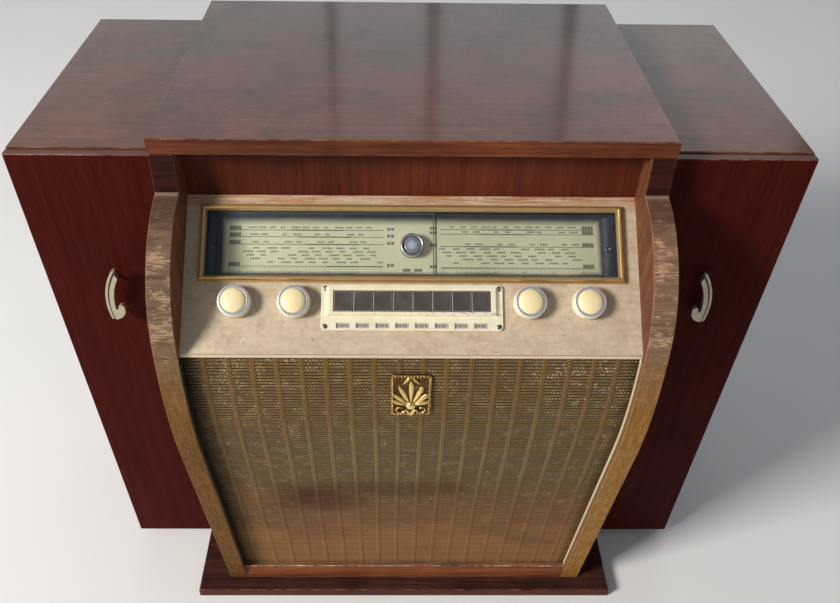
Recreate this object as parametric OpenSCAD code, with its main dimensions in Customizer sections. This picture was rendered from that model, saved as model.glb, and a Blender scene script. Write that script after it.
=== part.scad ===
// Console radio with a record player under its lid and a record case on each side.
// Millimetres. X runs to the right, the front faces -Y, Z runs up from the floor.

/* [Overall] */
// Width over the two side cases
case_w = 874; // [840:1:910]
// Depth from the belly of the front to the back
body_d = 518; // [505:1:540]
// Height from the floor to the top of the lid
body_h = 762; // [757:1:790]

/* [Lid] */
// Width of the lid and of the centre cabinet
lid_w = 550; // [540:1:570]
// Thickness of the lid
lid_t = 19; // [15:1:22]
// Distance of the lid's back edge from the back of the cabinet
lid_setback = 6; // [5:0.5:9]
// How far the lid opens, in degrees
lid_open = 75; // [60:1:76]

/* [Cheeks] */
// Thickness of a cheek
cheek_t = 26; // [22:1:30]
// How far the belly stands in front of the lid's front edge
belly_out = 128; // [118:1:134]
// Depth of the belly below the top of the lid
belly_drop = 278; // [270:1:288]
// Radius of the belly
belly_r = 559; // [530:1:600]
// Angle from the belly's height up to the start of the shoulder
shoulder_turn = 10.4; // [9.5:0.1:11]
// Radius of the shoulder
shoulder_r = 143; // [135:1:148]
// How far the crease over the shoulder stands in front of the lid's edge
crease_out = 5; // [2:0.5:10]
// Lean of the straight leg
leg_lean = 8.6; // [7:0.1:10]

/* [Plinth] */
// Width of the plinth
plinth_w = 642; // [600:1:700]
// Thickness of the plinth
plinth_t = 18; // [14:1:24]
// How far the plinth stands in front of the lid's front edge
plinth_out = 86; // [76:1:100]

/* [Fascia and control panel] */
// Distance of the fascia behind the lid's front edge
fascia_setback = 24; // [20:1:30]
// Thickness of the fascia
fascia_t = 16; // [12:1:18]
// Slope of the control panel
panel_slope = 38.7; // [37:0.1:40]
// Depth of the panel's front edge below the top of the lid
nose_drop = 193.8; // [190:0.1:198]
// Height of the nosing under that edge
nose_h = 6; // [5:0.5:11]
// How far the nosing stands behind the front edge of the cheeks
nose_inset = 7.5; // [5:0.5:9]
// Thickness of the control panel
panel_t = 12; // [12:0.5:15]

/* [Dial] */
// Width of the bezel
bezel_w = 467; // [440:1:480]
// Height of the bezel along the slope
bezel_h = 88; // [84:1:92]
// Width of the bezel's bar
bezel_bar = 8.5; // [7.5:0.5:10]
// Distance of the bezel from the panel's front edge
bezel_s = 78; // [77:0.5:81]
// Radius of the magic eye's ring
eye_r = 13; // [11:0.5:14]
// Travel of the pointers
pointer_travel = 190; // [150:1:195]

/* [Keys and knobs] */
// Distance from one key to the next
key_pitch = 21.3; // [19:0.1:22]
// Height of a key along the slope
key_h = 22.4; // [20:0.2:24]
// How far a key goes in
key_travel = 6; // [4:0.5:7]
// Width of the escutcheon
escutcheon_w = 197; // [194:1:202]
// Height of the escutcheon along the slope
escutcheon_h = 50.5; // [50:0.5:52]
// Radius of a knob's skirt
knob_r = 18; // [15:0.5:20]
// Height of a knob
knob_h = 17; // [14:0.5:20]
// Distance of the outer knobs from the middle
knob_x_outer = 191.5; // [182:0.5:200]
// Distance of the inner knobs from the middle
knob_x_inner = 127.5; // [122:0.5:135]

/* [Grille] */
// Depth of the grille behind the front edge of the cheeks
grille_recess = 12; // [9:0.5:16]
// Height of the bottom rail
rail_h = 33; // [24:1:40]
// Thickness of the baffle board
baffle_t = 10; // [8:1:12]
// Distance of the loudspeaker's middle below the top of the straight leg
speaker_drop = 168; // [150:1:180]
// Radius of the loudspeaker's hole
speaker_r = 88; // [75:1:95]
// Width of the ornament
emblem_w = 46; // [40:1:52]

/* [Side cases and doors] */
// How far the tops of the side cases lie below the top of the lid
wing_drop = 30; // [26:1:42]
// Thickness of the boards
board_t = 16; // [15:1:19]
// Distance of the doors behind the lid's front edge
door_setback = 21; // [16:1:26]
// Thickness of a door
door_t = 12; // [10:1:16]
// How much lower the door's top edge is than the case's top
door_drop = 2; // [1.5:0.5:6]
// Gap round a door
door_gap = 1.5; // [1:0.25:2]

/* [Handles] */
// Height of a handle from end to end
handle_h = 75; // [68:1:84]
// Room for the fingers under the arch of the bow
handle_gap = 12.5; // [10:0.5:15]
// Radius of the bow across the door
bow_r = 103; // [85:1:140]
// Depth of the handle's middle below the top of the lid
handle_drop = 214.5; // [200:1:260]

/* [Record player] */
// Depth of the record space under the lid
deck_drop = 103; // [99:1:111]
// Thickness of the motor board
deck_t = 12; // [10:1:15]
// Radius of the platter
platter_r = 125; // [115:1:130]
// Radius of the spindle
spindle_r = 3.58; // [3.5:0.01:3.62]
// Distance from the tonearm's pillar to its stylus
arm_len = 212; // [208:1:220]

/* [Hardware] */
// Radius of a hinge's barrel
hinge_r = 3; // [2.75:0.25:3.5]
// Length of a door hinge
hinge_len = 50; // [40:1:60]
// Radius of the lid stay
stay_r = 75; // [70:1:78]

/* [Part to show] */
// One node alone, or all of them

/* [Hidden] */
$fn = 72;

// clearances
run = 0.05;
clear = 0.3;
seam = 0.5;

// main planes
front_y = -body_d / 2;
back_y = body_d / 2;
lid_front_y = front_y + belly_out;
lid_back_y = back_y - lid_setback;
lid_z = body_h - lid_t;
top_z = lid_z - seam;
cheek_x = lid_w / 2;
inner_x = cheek_x - cheek_t;
back_t = 4;
cheek_back_y = back_y - back_t;

// front edge of the cheeks: belly centre, shoulder centre, crease, leg
belly_z = body_h - belly_drop;
belly_c = [front_y + belly_r, belly_z];
shoulder_c = belly_c + (belly_r - shoulder_r) * [-cos(shoulder_turn), sin(shoulder_turn)];
crease_y = lid_front_y - crease_out;
crease_a = acos((shoulder_c[0] - crease_y) / shoulder_r);
arc_steps = 14;

// a point of the belly's arc, set back by off, and of the shoulder's arc
function belly_at(a, off) = belly_c + (belly_r - off) * [-cos(a), sin(a)];
function shoulder_at(a) = shoulder_c + shoulder_r * [-cos(a), sin(a)];
// the straight leg at a height, set back by off
function leg_y(z, off) = belly_at(-leg_lean, off)[0] + (belly_at(-leg_lean, off)[1] - z) * tan(leg_lean);
// the front edge at a height below the shoulder, set back by off
function edge_y(z, off) = z > belly_at(-leg_lean, off)[1]
    ? belly_c[0] - sqrt(pow(belly_r - off, 2) - pow(z - belly_c[1], 2)) : leg_y(z, off);
// the grille's line from its top down to a height
function grille_line(z0, z1, off) = concat(
    [for (i = [0 : arc_steps])
        belly_at(asin((z0 - belly_c[1]) / (belly_r - off)) * (1 - i / arc_steps)
            - leg_lean * i / arc_steps, off)],
    [[leg_y(z1, off), z1]]);
function backward(list) = [for (i = [len(list) - 1 : -1 : 0]) list[i]];

// control panel
nose_z = body_h - nose_drop;
fascia_y = lid_front_y + fascia_setback;
nose_y = edge_y(nose_z, 0) + nose_inset;
panel_rise = tan(panel_slope);
panel_back = panel_t / cos(panel_slope);
panel_top_z = nose_z + (fascia_y - nose_y) * panel_rise;

// dial
dial_s = bezel_s + bezel_h / 2;
hole_w = bezel_w - 2 * bezel_bar + 5;
hole_h = bezel_h - 2 * bezel_bar + 5;
eye_s = bezel_s + 43;
glass_n = -0.2;
glass_t = 3;
plate_n = -8.5;
plate_t = 1.5;
pointer_x = eye_r + 11;

// keys and knobs
key_count = 8;
keys_w = key_count * key_pitch;
key_w = key_pitch - 0.6;
key_s = 57;
knob_s = 56;
escutcheon_s = key_s - 31.8;
well_h = key_h + 0.8;
shaft_r = 3;
ring_n = 11.4;
cap_r = 12.9;
knob_bore_h = 11;
stem_n = -16;
switch_n = stem_n - key_travel - 3;
switch_d = 38;
apron_n = switch_n - switch_d - 3;
pot_r = 13;
pot_h = 18;
chassis_w = 2 * (knob_x_outer + pot_r + 12);
switch_w = keys_w + 14;
chassis_d = 135;
chassis_s0 = 15;
chassis_s1 = 75;
sheet_t = 1.2;

// on the chassis
valve_r = 15;
valve_h = 64;
valve_base_h = 14;
valve_x = -185;
valve_pitch = 50;
valve_n = 30;
mains_x = 120;
mains_w = 76;
mains_h = 62;
mains_d = 86;
cap_x = 62;
cap_s = 32;
cap_w = 60;
cap_d = 62;
cap_t = 2;
cap_back = 34;
vane_count = 6;
vane_pitch = 7;
vane_t = 1.2;
vane_r = 19;
vane_n = -14.5;
drum_r = 24;
drum_h = 7;

// grille
cloth_t = 1.5;
grille_top = nose_z - nose_h - seam;
baffle_off = grille_recess + cloth_t;
baffle_back = baffle_off + baffle_t;
emblem_z = nose_z - 62;
speaker_z = belly_at(-leg_lean, 0)[1] - speaker_drop;
basket_r = 42;
basket_z = 58;
throat_r = 20;
throat_d = 10;
dome_d = 16;
cone_t = 1;
magnet_z = 96;
flange_w = 14;

// side cases
wing_top_z = body_h - wing_drop;
handle_z = body_h - handle_drop;
wing_x = case_w / 2;
door_front_y = lid_front_y + door_setback;
door_back_y = door_front_y + door_t;
wing_front_y = door_back_y + seam;
wing_under = wing_top_z - board_t;
wing_in = wing_x - board_t;
wing_back_t = 6;
shelf_t = 12;
shelf_z = (plinth_t + board_t + wing_under) / 2;
door_x0 = cheek_x + door_gap;
door_z0 = plinth_t + door_gap + 0.5;
door_z1 = wing_top_z - door_drop;
handle_x = (cheek_x + wing_x) / 2 + 2;

// handles
bow_out = 9.3;
bow_low = 19;
rib_w = 2.8;
groove_w = 2.2;
bar_w = 5.3;
web_t = 3;
thin_rib_t = 5;
broad_rib_t = 6.5;
hook_r = 15.8;
hook_y = hook_r - handle_h / 2;
hook_x = bow_x(hook_y) - rib_w - groove_w;
notch_y = hook_y + 0.6;
neck_x = hook_x - 8.7;
curl_r = 3.6;
curl_x = hook_x - 12.4;
curl_y = hook_y + 3.6;
tip_x = -9.1;
tip_a = 71;
foot_r = 2.8;
hook_foot_x = hook_x - 5;
hook_foot_y = hook_y - 11;
post_y = hook_foot_y + 53.2;
post_x = bow_x(post_y) - (rib_w + groove_w + bar_w) / 2;
// the outer edge of the bow at a height
function bow_x(v) = bow_out - bow_r + sqrt(pow(bow_r, 2) - pow(v + bow_low, 2));

// hinges
leaf_w = 14;
leaf_t = 1.2;
pin_r = hinge_r / 2;
hinge_z_low = plinth_t + 102;
hinge_z_high = wing_under - 96;
door_axis_y = door_back_y + seam / 2;
lid_axis_z = lid_z - seam / 2;
lid_hinge_len = 60;
lid_hinge_x = inner_x - 100;
stay_x = inner_x - 11;
stay_t = 3;
stay_w = 8;
guide_a0 = 3;
guide_a1 = 9;
stop_a = lid_open + guide_a1 + 3;

// record player
deck_z = lid_z - deck_drop;
rail_rise = 60;
deck_y0 = fascia_y + fascia_t;
rail_t = 20;
deck_y1 = cheek_back_y - rail_t;
platter_x = -62;
platter_y = (deck_y0 + deck_y1) / 2;
platter_z = deck_z + 8;
platter_h = 16;
mat_t = 3;
journal_r = 6;
mat_z = platter_z + platter_h + mat_t;
arm_x = platter_x + platter_r + 52;
arm_y = platter_y + 98;
arm_z = mat_z + 22;
rest_y = arm_y - 140;
rest_w = 14;
rest_d = 12;
rest_lip = 3;
pillar_r = 13;
pillar_foot_r = 24;
pillar_foot_t = 5;
stub_r = 5;
stub_h = 7;
pivot_r = 2;
yoke_drop = 21;
yoke_h = 10;
yoke_w = 24;
yoke_t = 3;
hub_w = 17;
hub_d = 18;
hub_h = 14;
arm_w = 12;
arm_t = 10;
shell_w = 22;
shell_back = 32;
shell_front = 18;
shell_low = 13;
cart_w = 14;
cart_d = 22;
cart_h = 4;
rod_r = 4;
rod_len = 20;
weight_r = 10;
weight_len = 24;
motor_x = platter_x - 70;
motor_y = platter_y + 60;
motor_r = 40;
motor_h = 60;
motor_flange_r = 52;
motor_flange_t = 4;
motor_cap_r = 14;
motor_cap_h = 10;

// boards and frames
module box(x0, x1, y0, y1, z0, z1) {
    translate([x0, y0, z0]) cube([x1 - x0, y1 - y0, z1 - z0]);
}

module along_x(x0, x1) {
    translate([x0, 0, 0]) rotate([90, 0, 90]) linear_extrude(x1 - x0) children();
}

// the slope of the control panel: X across, Y up the slope, Z out of the panel
module on_panel() {
    translate([0, nose_y, nose_z]) rotate([panel_slope, 0, 0]) children();
}

// the straight part of the baffle's back: Z into the cabinet
module on_leg() {
    translate([0, edge_y(speaker_z, baffle_back), speaker_z]) rotate([leg_lean - 90, 0, 0]) children();
}

// the front of a door: X away from the middle, Y up, Z out of the door
module on_door() {
    translate([handle_x, door_front_y, handle_z]) rotate([90, 0, 0]) children();
}

// the axis of a lid hinge, its leaves towards the front
module on_lid_axis(x) {
    translate([x, lid_back_y, lid_axis_z]) rotate([0, -90, 0]) rotate([0, 0, 90]) children();
}

module left() {
    mirror([1, 0, 0]) children();
}

module frame2d(w, h, bar) {
    difference() {
        square([w, h], center = true);
        square([w - 2 * bar, h - 2 * bar], center = true);
    }
}

module rounded2d(w, h, r) {
    square([w - 2 * r, h], center = true);
    square([w, h - 2 * r], center = true);
    for (x = [-1, 1], y = [-1, 1])
        translate([x * (w / 2 - r), y * (h / 2 - r)]) circle(r);
}

// hinges: barrel on Z, leaves towards -X, the fixed leaf at +Y
module fixed_leaf(length) {
    third = length / 3;
    translate([-leaf_w, run, -length / 2]) cube([leaf_w - hinge_r - 0.5, leaf_t, length]);
    for (z = [-length / 2, third / 2]) {
        translate([-hinge_r - 1, run, z]) cube([hinge_r + 1, leaf_t, third]);
        translate([0, 0, z]) cylinder(h = third, r = hinge_r);
    }
    translate([0, 0, -length / 2]) cylinder(h = length, r = pin_r);
}

module moving_leaf(length) {
    third = length / 3 - 2 * clear;
    difference() {
        union() {
            translate([-leaf_w, -run - leaf_t, -length / 2])
                cube([leaf_w - hinge_r - 0.5, leaf_t, length]);
            translate([-hinge_r - 1, -run - leaf_t, -third / 2]) cube([hinge_r + 1, leaf_t, third]);
            translate([0, 0, -third / 2]) cylinder(h = third, r = hinge_r);
        }
        translate([0, 0, -length]) cylinder(h = 2 * length, r = pin_r + run);
    }
}

// the room a hinge takes out of the two boards
module hinge_room(length) {
    translate([-leaf_w - 0.1, -leaf_t - 2 * run, -length / 2 - 0.1])
        cube([leaf_w + 0.1, 2 * leaf_t + 4 * run, length + 0.2]);
    translate([0, 0, -length / 2 - 0.1]) cylinder(h = length + 0.2, r = hinge_r + clear);
}

module door_hinges_at() {
    for (z = [hinge_z_low, hinge_z_high])
        translate([wing_x, door_axis_y, z]) children();
}

module lid_hinges_at() {
    for (x = [-lid_hinge_x, lid_hinge_x]) on_lid_axis(x) children();
}

// cabinet
module plinth() {
    color([0.25, 0.12, 0.08])
        box(-plinth_w / 2, plinth_w / 2, lid_front_y - plinth_out, back_y - 8, 0, plinth_t);
}

module cheek() {
    shoulder = [for (i = [0 : arc_steps])
        shoulder_at(crease_a + (shoulder_turn - crease_a) * i / arc_steps)];
    belly = [for (i = [1 : arc_steps])
        belly_at(shoulder_turn + (-leg_lean - shoulder_turn) * i / arc_steps, 0)];
    color([0.42, 0.22, 0.12])
        along_x(inner_x, cheek_x)
            polygon(concat(
                [[cheek_back_y, plinth_t], [cheek_back_y, top_z], [lid_front_y, top_z]],
                shoulder, belly, [[leg_y(plinth_t, 0), plinth_t]]));
}

module left_cheek() {
    left() cheek();
}

module right_cheek() {
    cheek();
}

module fascia_board() {
    color([0.35, 0.15, 0.08])
        box(-inner_x, inner_x, fascia_y, fascia_y + fascia_t, deck_z - deck_t, top_z);
}

module control_panel() {
    color([0.82, 0.72, 0.58])
        difference() {
            along_x(-inner_x, inner_x)
                polygon([[fascia_y, panel_top_z], [nose_y, nose_z], [nose_y, nose_z - nose_h],
                    [nose_y + (panel_back - nose_h) / panel_rise, nose_z - nose_h],
                    [fascia_y, panel_top_z - panel_back]]);
            on_panel() {
                translate([-hole_w / 2, dial_s - hole_h / 2, -3 * panel_t])
                    cube([hole_w, hole_h, 5 * panel_t]);
                translate([-keys_w / 2 - clear, key_s - well_h / 2, -3 * panel_t])
                    cube([keys_w + 2 * clear, well_h, 5 * panel_t]);
                for (x = [-knob_x_outer, -knob_x_inner, knob_x_inner, knob_x_outer])
                    translate([x, knob_s, -3 * panel_t]) cylinder(h = 5 * panel_t, r = shaft_r + 1);
            }
        }
}

module grille_rail() {
    color([0.42, 0.18, 0.1])
        along_x(-inner_x, inner_x)
            polygon([[leg_y(plinth_t, 0), plinth_t], [leg_y(plinth_t, 0), plinth_t + rail_h],
                [leg_y(plinth_t + rail_h, grille_recess - run), plinth_t + rail_h],
                [leg_y(plinth_t, grille_recess - run), plinth_t]]);
}

module grille_cloth() {
    color([0.5, 0.4, 0.22])
        along_x(-inner_x, inner_x)
            polygon(concat(grille_line(grille_top, plinth_t, grille_recess),
                backward(grille_line(grille_top, plinth_t, baffle_off))));
}

module baffle_board() {
    color([0.6, 0.5, 0.36])
        difference() {
            along_x(-inner_x, inner_x)
                polygon(concat(grille_line(grille_top, plinth_t, baffle_off),
                    backward(grille_line(grille_top, plinth_t, baffle_back))));
            on_leg() translate([0, 0, -baffle_t - 0.5]) cylinder(h = baffle_t + 1, r = speaker_r);
        }
}

module grille_emblem() {
    lean = asin((emblem_z - belly_c[1]) / (belly_r - grille_recess));
    color([0.8, 0.65, 0.3])
        translate([0, edge_y(emblem_z, grille_recess) - 0.1, emblem_z])
            rotate([90 - lean, 0, 0])
                scale(emblem_w / 47) {
                    linear_extrude(2) rounded2d(47, 65, 4);
                    linear_extrude(3.5)
                        difference() {
                            rounded2d(47, 65, 4);
                            rounded2d(42.6, 60.6, 2.5);
                        }
                    translate([0, -18, 0]) {
                        linear_extrude(4.5)
                            for (a = [-75, -50, -25, 0, 25, 50, 75])
                                rotate(a)
                                    translate([0, 5])
                                        petal(a == 0 ? 38 : abs(a) < 30 ? 31 : abs(a) < 60 ? 18 : 12);
                        cylinder(h = 6, r = 6.5);
                        for (x = [-1, 1]) translate([x * 11, -6, 0]) cylinder(h = 5, r = 4.5);
                    }
                }
}

// a leaf of the ornament, pointed at both ends
module petal(length) {
    r = length * 0.82;
    d = sqrt(r * r - length * length / 4);
    intersection() {
        translate([-d, length / 2]) circle(r);
        translate([d, length / 2]) circle(r);
    }
}

// loudspeaker
module speaker_frame() {
    color([0.45, 0.45, 0.47])
        on_leg()
            difference() {
                rotate_extrude()
                    polygon([[speaker_r + 2, 0], [speaker_r + flange_w, 0], [speaker_r + flange_w, 3],
                        [speaker_r + 4, 3], [basket_r, basket_z], [basket_r, magnet_z], [0, magnet_z],
                        [0, basket_z + 2], [basket_r - 3, basket_z - 2], [speaker_r + 2, 2.2]]);
                for (a = [0 : 60 : 300])
                    rotate(a) translate([30, -18, 14]) cube([120, 36, 26]);
            }
}

module speaker_cone() {
    color([0.2, 0.19, 0.18])
        on_leg()
            rotate_extrude()
                polygon([[speaker_r - 2, 0.5], [speaker_r + 1.4, 0.5], [speaker_r + 1.4, 1.5],
                    [speaker_r - 4, 2.5], [throat_r, basket_z - throat_d], [0, basket_z - dome_d],
                    [0, basket_z - dome_d - cone_t],
                    [throat_r - 2 * cone_t, basket_z - throat_d - 2 * cone_t]]);
}

// back
module back_rail() {
    color([0.5, 0.36, 0.22])
        difference() {
            box(-inner_x, inner_x, deck_y1, cheek_back_y, deck_z + rail_rise, top_z);
            lid_hinges_at() hinge_room(lid_hinge_len);
        }
}

module back_panel() {
    color([0.4, 0.28, 0.18])
        translate([0, back_y, 0])
            rotate([90, 0, 0])
                linear_extrude(back_t)
                    difference() {
                        translate([-cheek_x + 9, plinth_t + 6])
                            square([lid_w - 18, top_z - plinth_t - 12]);
                        for (x = [-180 : 40 : 180], z = [plinth_t + 162, plinth_t + 442])
                            translate([x, z]) {
                                square([8, 70], center = true);
                                for (e = [-35, 35]) translate([0, e]) circle(4);
                            }
                        translate([-150, plinth_t + 62]) circle(9 + run);
                    }
}

module cable_gland() {
    color([0.08, 0.08, 0.08])
        translate([-150, back_y, plinth_t + 62])
            rotate([90, 0, 0])
                rotate_extrude()
                    polygon([[4, -4 + back_t], [9, -4 + back_t], [9, 0.2], [9, back_t], [13, back_t],
                        [13, back_t + 4], [4, back_t + 4]]);
}

// record player
module motor_board() {
    color([0.3, 0.16, 0.1])
        box(-inner_x, inner_x, deck_y0, deck_y1 + rail_t, deck_z - deck_t, deck_z);
}

module record_spindle() {
    color([0.75, 0.75, 0.76])
        translate([platter_x, platter_y, deck_z]) {
            cylinder(h = 3, r = 18);
            cylinder(h = platter_z - deck_z - clear, r = 9);
            cylinder(h = mat_z - deck_z - 0.2, r = journal_r);
            cylinder(h = mat_z - deck_z + 14, r = spindle_r);
            translate([0, 0, mat_z - deck_z + 14]) cylinder(h = 3, r1 = spindle_r, r2 = 1.4);
        }
}

module platter() {
    rim = platter_r - 6;
    color([0.55, 0.55, 0.56])
        translate([platter_x, platter_y, platter_z])
            rotate_extrude()
                polygon([[journal_r + run, 0], [20, 0], [20, 10], [rim, 10], [rim, 0], [platter_r, 0],
                    [platter_r, platter_h - 3], [platter_r - 3, platter_h], [journal_r + run, platter_h]]);
}

module platter_mat() {
    color([0.12, 0.12, 0.12])
        translate([platter_x, platter_y, platter_z + platter_h])
            difference() {
                cylinder(h = mat_t, r = platter_r - 3);
                translate([0, 0, -1]) cylinder(h = mat_t + 2, r = journal_r + clear);
            }
}

module tonearm_base() {
    color([0.7, 0.66, 0.56]) {
        translate([arm_x, arm_y, deck_z]) {
            cylinder(h = pillar_foot_t, r = pillar_foot_r);
            cylinder(h = arm_z - yoke_drop - deck_z, r = pillar_r);
            cylinder(h = arm_z - yoke_drop + stub_h - deck_z, r = stub_r);
        }
        box(arm_x - rest_w / 2, arm_x + rest_w / 2, rest_y - rest_d / 2, rest_y + rest_d / 2, deck_z,
            arm_z - arm_t / 2 - clear);
        box(arm_x + rest_w / 2, arm_x + rest_w / 2 + rest_lip, rest_y - rest_d / 2, rest_y + rest_d / 2,
            deck_z, arm_z + rest_lip);
    }
}

module tonearm_yoke() {
    color([0.75, 0.75, 0.76])
        translate([arm_x, arm_y, arm_z]) {
            difference() {
                union() {
                    translate([0, 0, -yoke_drop + clear]) cylinder(h = yoke_h - clear, r = pillar_r);
                    for (x = [-yoke_w / 2, yoke_w / 2 - yoke_t])
                        translate([x, -stub_r, yoke_h - 2 - yoke_drop])
                            cube([yoke_t, 2 * stub_r, yoke_drop - yoke_h + 8]);
                }
                translate([0, 0, -yoke_drop - 1]) cylinder(h = stub_h + 5, r = stub_r + run);
            }
            translate([-yoke_w / 2, 0, 0]) rotate([0, 90, 0]) cylinder(h = yoke_w, r = pivot_r);
        }
}

module tonearm() {
    shell_y0 = -arm_len - shell_front;
    shell_y1 = -arm_len + shell_back;
    color([0.88, 0.82, 0.66])
        translate([arm_x, arm_y, arm_z])
            difference() {
                union() {
                    translate([-hub_w / 2, -hub_d / 2, -hub_h / 2]) cube([hub_w, hub_d, hub_h]);
                    along_x(-arm_w / 2, arm_w / 2)
                        polygon([[-arm_w / 2, -arm_t / 2], [-arm_w / 2, arm_t / 2],
                            [shell_y1 - 4, arm_t / 2 - 2], [shell_y1 - 4, -arm_t / 2]]);
                    along_x(-shell_w / 2, shell_w / 2)
                        polygon([[shell_y1, -arm_t / 2 - 1], [shell_y1, arm_t / 2 - 1], [shell_y0 + 4, 2],
                            [shell_y0, -4], [shell_y0, -shell_low], [shell_y1 - shell_front, -shell_low]]);
                    translate([-cart_w / 2, shell_y0 + 6, -shell_low - cart_h + 0.5])
                        cube([cart_w, cart_d, cart_h]);
                    translate([0, -arm_len, -shell_low - cart_h - 1]) cylinder(h = 3, r = 0.8);
                    translate([0, hub_d / 2 - 4, 0]) rotate([-90, 0, 0]) cylinder(h = rod_len, r = rod_r);
                    translate([0, hub_d / 2 + rod_len - 7, 0])
                        rotate([-90, 0, 0]) cylinder(h = weight_len, r = weight_r);
                }
                translate([-yoke_w, 0, 0]) rotate([0, 90, 0]) cylinder(h = 2 * yoke_w, r = pivot_r + run);
            }
}

module phono_motor() {
    color([0.4, 0.4, 0.42])
        translate([motor_x, motor_y, deck_z - deck_t]) {
            translate([0, 0, -motor_flange_t]) cylinder(h = motor_flange_t, r = motor_flange_r);
            translate([0, 0, -motor_h - motor_flange_t / 2]) cylinder(h = motor_h, r = motor_r);
            translate([0, 0, -motor_h - motor_flange_t / 2 - 0.8 * motor_cap_h])
                cylinder(h = motor_cap_h, r = motor_cap_r);
        }
}

// radio
module chassis() {
    back_n = apron_n - chassis_d;
    height = chassis_s1 - chassis_s0;
    half = chassis_w / 2;
    color([0.62, 0.63, 0.6])
        on_panel()
            difference() {
                union() {
                    box(-half, half, chassis_s0, chassis_s1, apron_n - sheet_t, apron_n);
                    box(-half, half, chassis_s0, chassis_s1, back_n, back_n + sheet_t);
                    box(-half, half, chassis_s1 - sheet_t, chassis_s1, back_n, apron_n);
                    for (x = [-half, half - sheet_t])
                        box(x, x + sheet_t, chassis_s0, chassis_s1, back_n, -panel_t - run);
                    for (x = [-half - 18, half - sheet_t])
                        box(x, x + 18 + sheet_t, chassis_s0, chassis_s1, -panel_t - run - sheet_t,
                            -panel_t - run);
                }
                for (x = [-knob_x_outer, -knob_x_inner, knob_x_inner, knob_x_outer])
                    translate([x, knob_s, apron_n - 5]) cylinder(h = 10, r = 5 + clear);
            }
}

module control_pots() {
    color([0.5, 0.5, 0.5])
        on_panel()
            for (x = [-knob_x_outer, -knob_x_inner, knob_x_inner, knob_x_outer])
                translate([x, knob_s, apron_n - sheet_t])
                    rotate_extrude()
                        polygon([[0, -pot_h], [pot_r, -pot_h], [pot_r, 0], [5, 0], [5, 16],
                            [shaft_r + run, 16], [shaft_r + run, 3 - pot_h], [0, 3 - pot_h]]);
}

module chassis_valves() {
    deck_n = apron_n - chassis_d / 2;
    color([0.75, 0.75, 0.72])
        on_panel() {
            for (i = [0 : 3], n = [-valve_n, valve_n + 4])
                translate([valve_x + i * valve_pitch, chassis_s1, deck_n + n])
                    rotate([-90, 0, 0])
                        rotate_extrude()
                            polygon([[0, 0], [valve_r, 0], [valve_r, valve_base_h],
                                [valve_r - 2, valve_base_h + 2], [valve_r - 2, valve_h - 12],
                                [valve_r - 6, valve_h - 4], [valve_r / 5, valve_h], [0, valve_h]]);
            box(mains_x, mains_x + mains_w, chassis_s1, chassis_s1 + mains_h, deck_n - mains_d / 2,
                deck_n + mains_d / 2);
            box(mains_x + 10, mains_x + mains_w - 10, chassis_s1 + mains_h, chassis_s1 + mains_h + 4,
                deck_n + 10 - mains_d / 2, deck_n - 10 + mains_d / 2);
        }
}

module key_switch() {
    color([0.55, 0.56, 0.55])
        on_panel() {
            difference() {
                union() {
                    box(-switch_w / 2, switch_w / 2, key_s - 18, key_s + 18, switch_n - switch_d, switch_n);
                    for (x = [-switch_w / 2 - 8, switch_w / 2 - 1])
                        box(x, x + 9, key_s - 13, key_s + 13, switch_n - switch_d, -panel_t - run);
                }
                for (i = [0 : key_count - 1])
                    translate([(i - 3.5) * key_pitch, key_s, switch_n - 30])
                        translate([-3.25, -4.25, 0]) cube([6.5, 8.5, 40]);
            }
        }
}

module wave_key(i) {
    color([0.2, 0.17, 0.14])
        on_panel()
            translate([(i - 4.5) * key_pitch, key_s, 0]) {
                box(-key_w / 2, key_w / 2, -key_h / 2, key_h / 2, stem_n, 5.2);
                box(-3, 3, -4, 4, switch_n - 20, stem_n + 1);
            }
}

// frame of the tuning capacitor, with its fixed vanes
module on_capacitor() {
    on_panel() translate([cap_x, chassis_s1 + cap_s, apron_n - cap_back]) children();
}

module tuning_capacitor() {
    color([0.7, 0.7, 0.68])
        on_capacitor()
            difference() {
                union() {
                    box(-cap_w / 2, cap_w / 2, -cap_s, -cap_s + cap_t, -cap_d, 0);
                    for (z = [-cap_d, -cap_t]) box(-cap_w / 2, cap_w / 2, -cap_s, 12, z, z + cap_t);
                    box(-cap_w / 2, -cap_w / 2 + 2 * cap_t, -cap_s, vane_r + 5, -cap_d, 0);
                    for (i = [0 : vane_count])
                        box(-cap_w / 2 + cap_t, -2 * shaft_r, -vane_r - 1, vane_r + 1,
                            vane_n - (i - 0.5) * vane_pitch, vane_n - (i - 0.5) * vane_pitch + vane_t);
                }
                translate([0, 0, -cap_d - 8]) cylinder(h = cap_d + 18, r = shaft_r + run);
            }
}

module tuning_rotor() {
    color([0.72, 0.7, 0.62])
        on_capacitor() {
            translate([0, 0, -cap_d - 4]) cylinder(h = cap_d + 20, r = shaft_r);
            translate([0, 0, 6]) cylinder(h = drum_h, r = drum_r);
            for (i = [0 : vane_count - 1])
                translate([0, 0, vane_n - i * vane_pitch])
                    intersection() {
                        cylinder(h = vane_t, r = vane_r);
                        translate([0, -vane_r - 1, -1]) cube([vane_r + 1, 2 * vane_r + 2, vane_t + 2]);
                    }
        }
}

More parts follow.
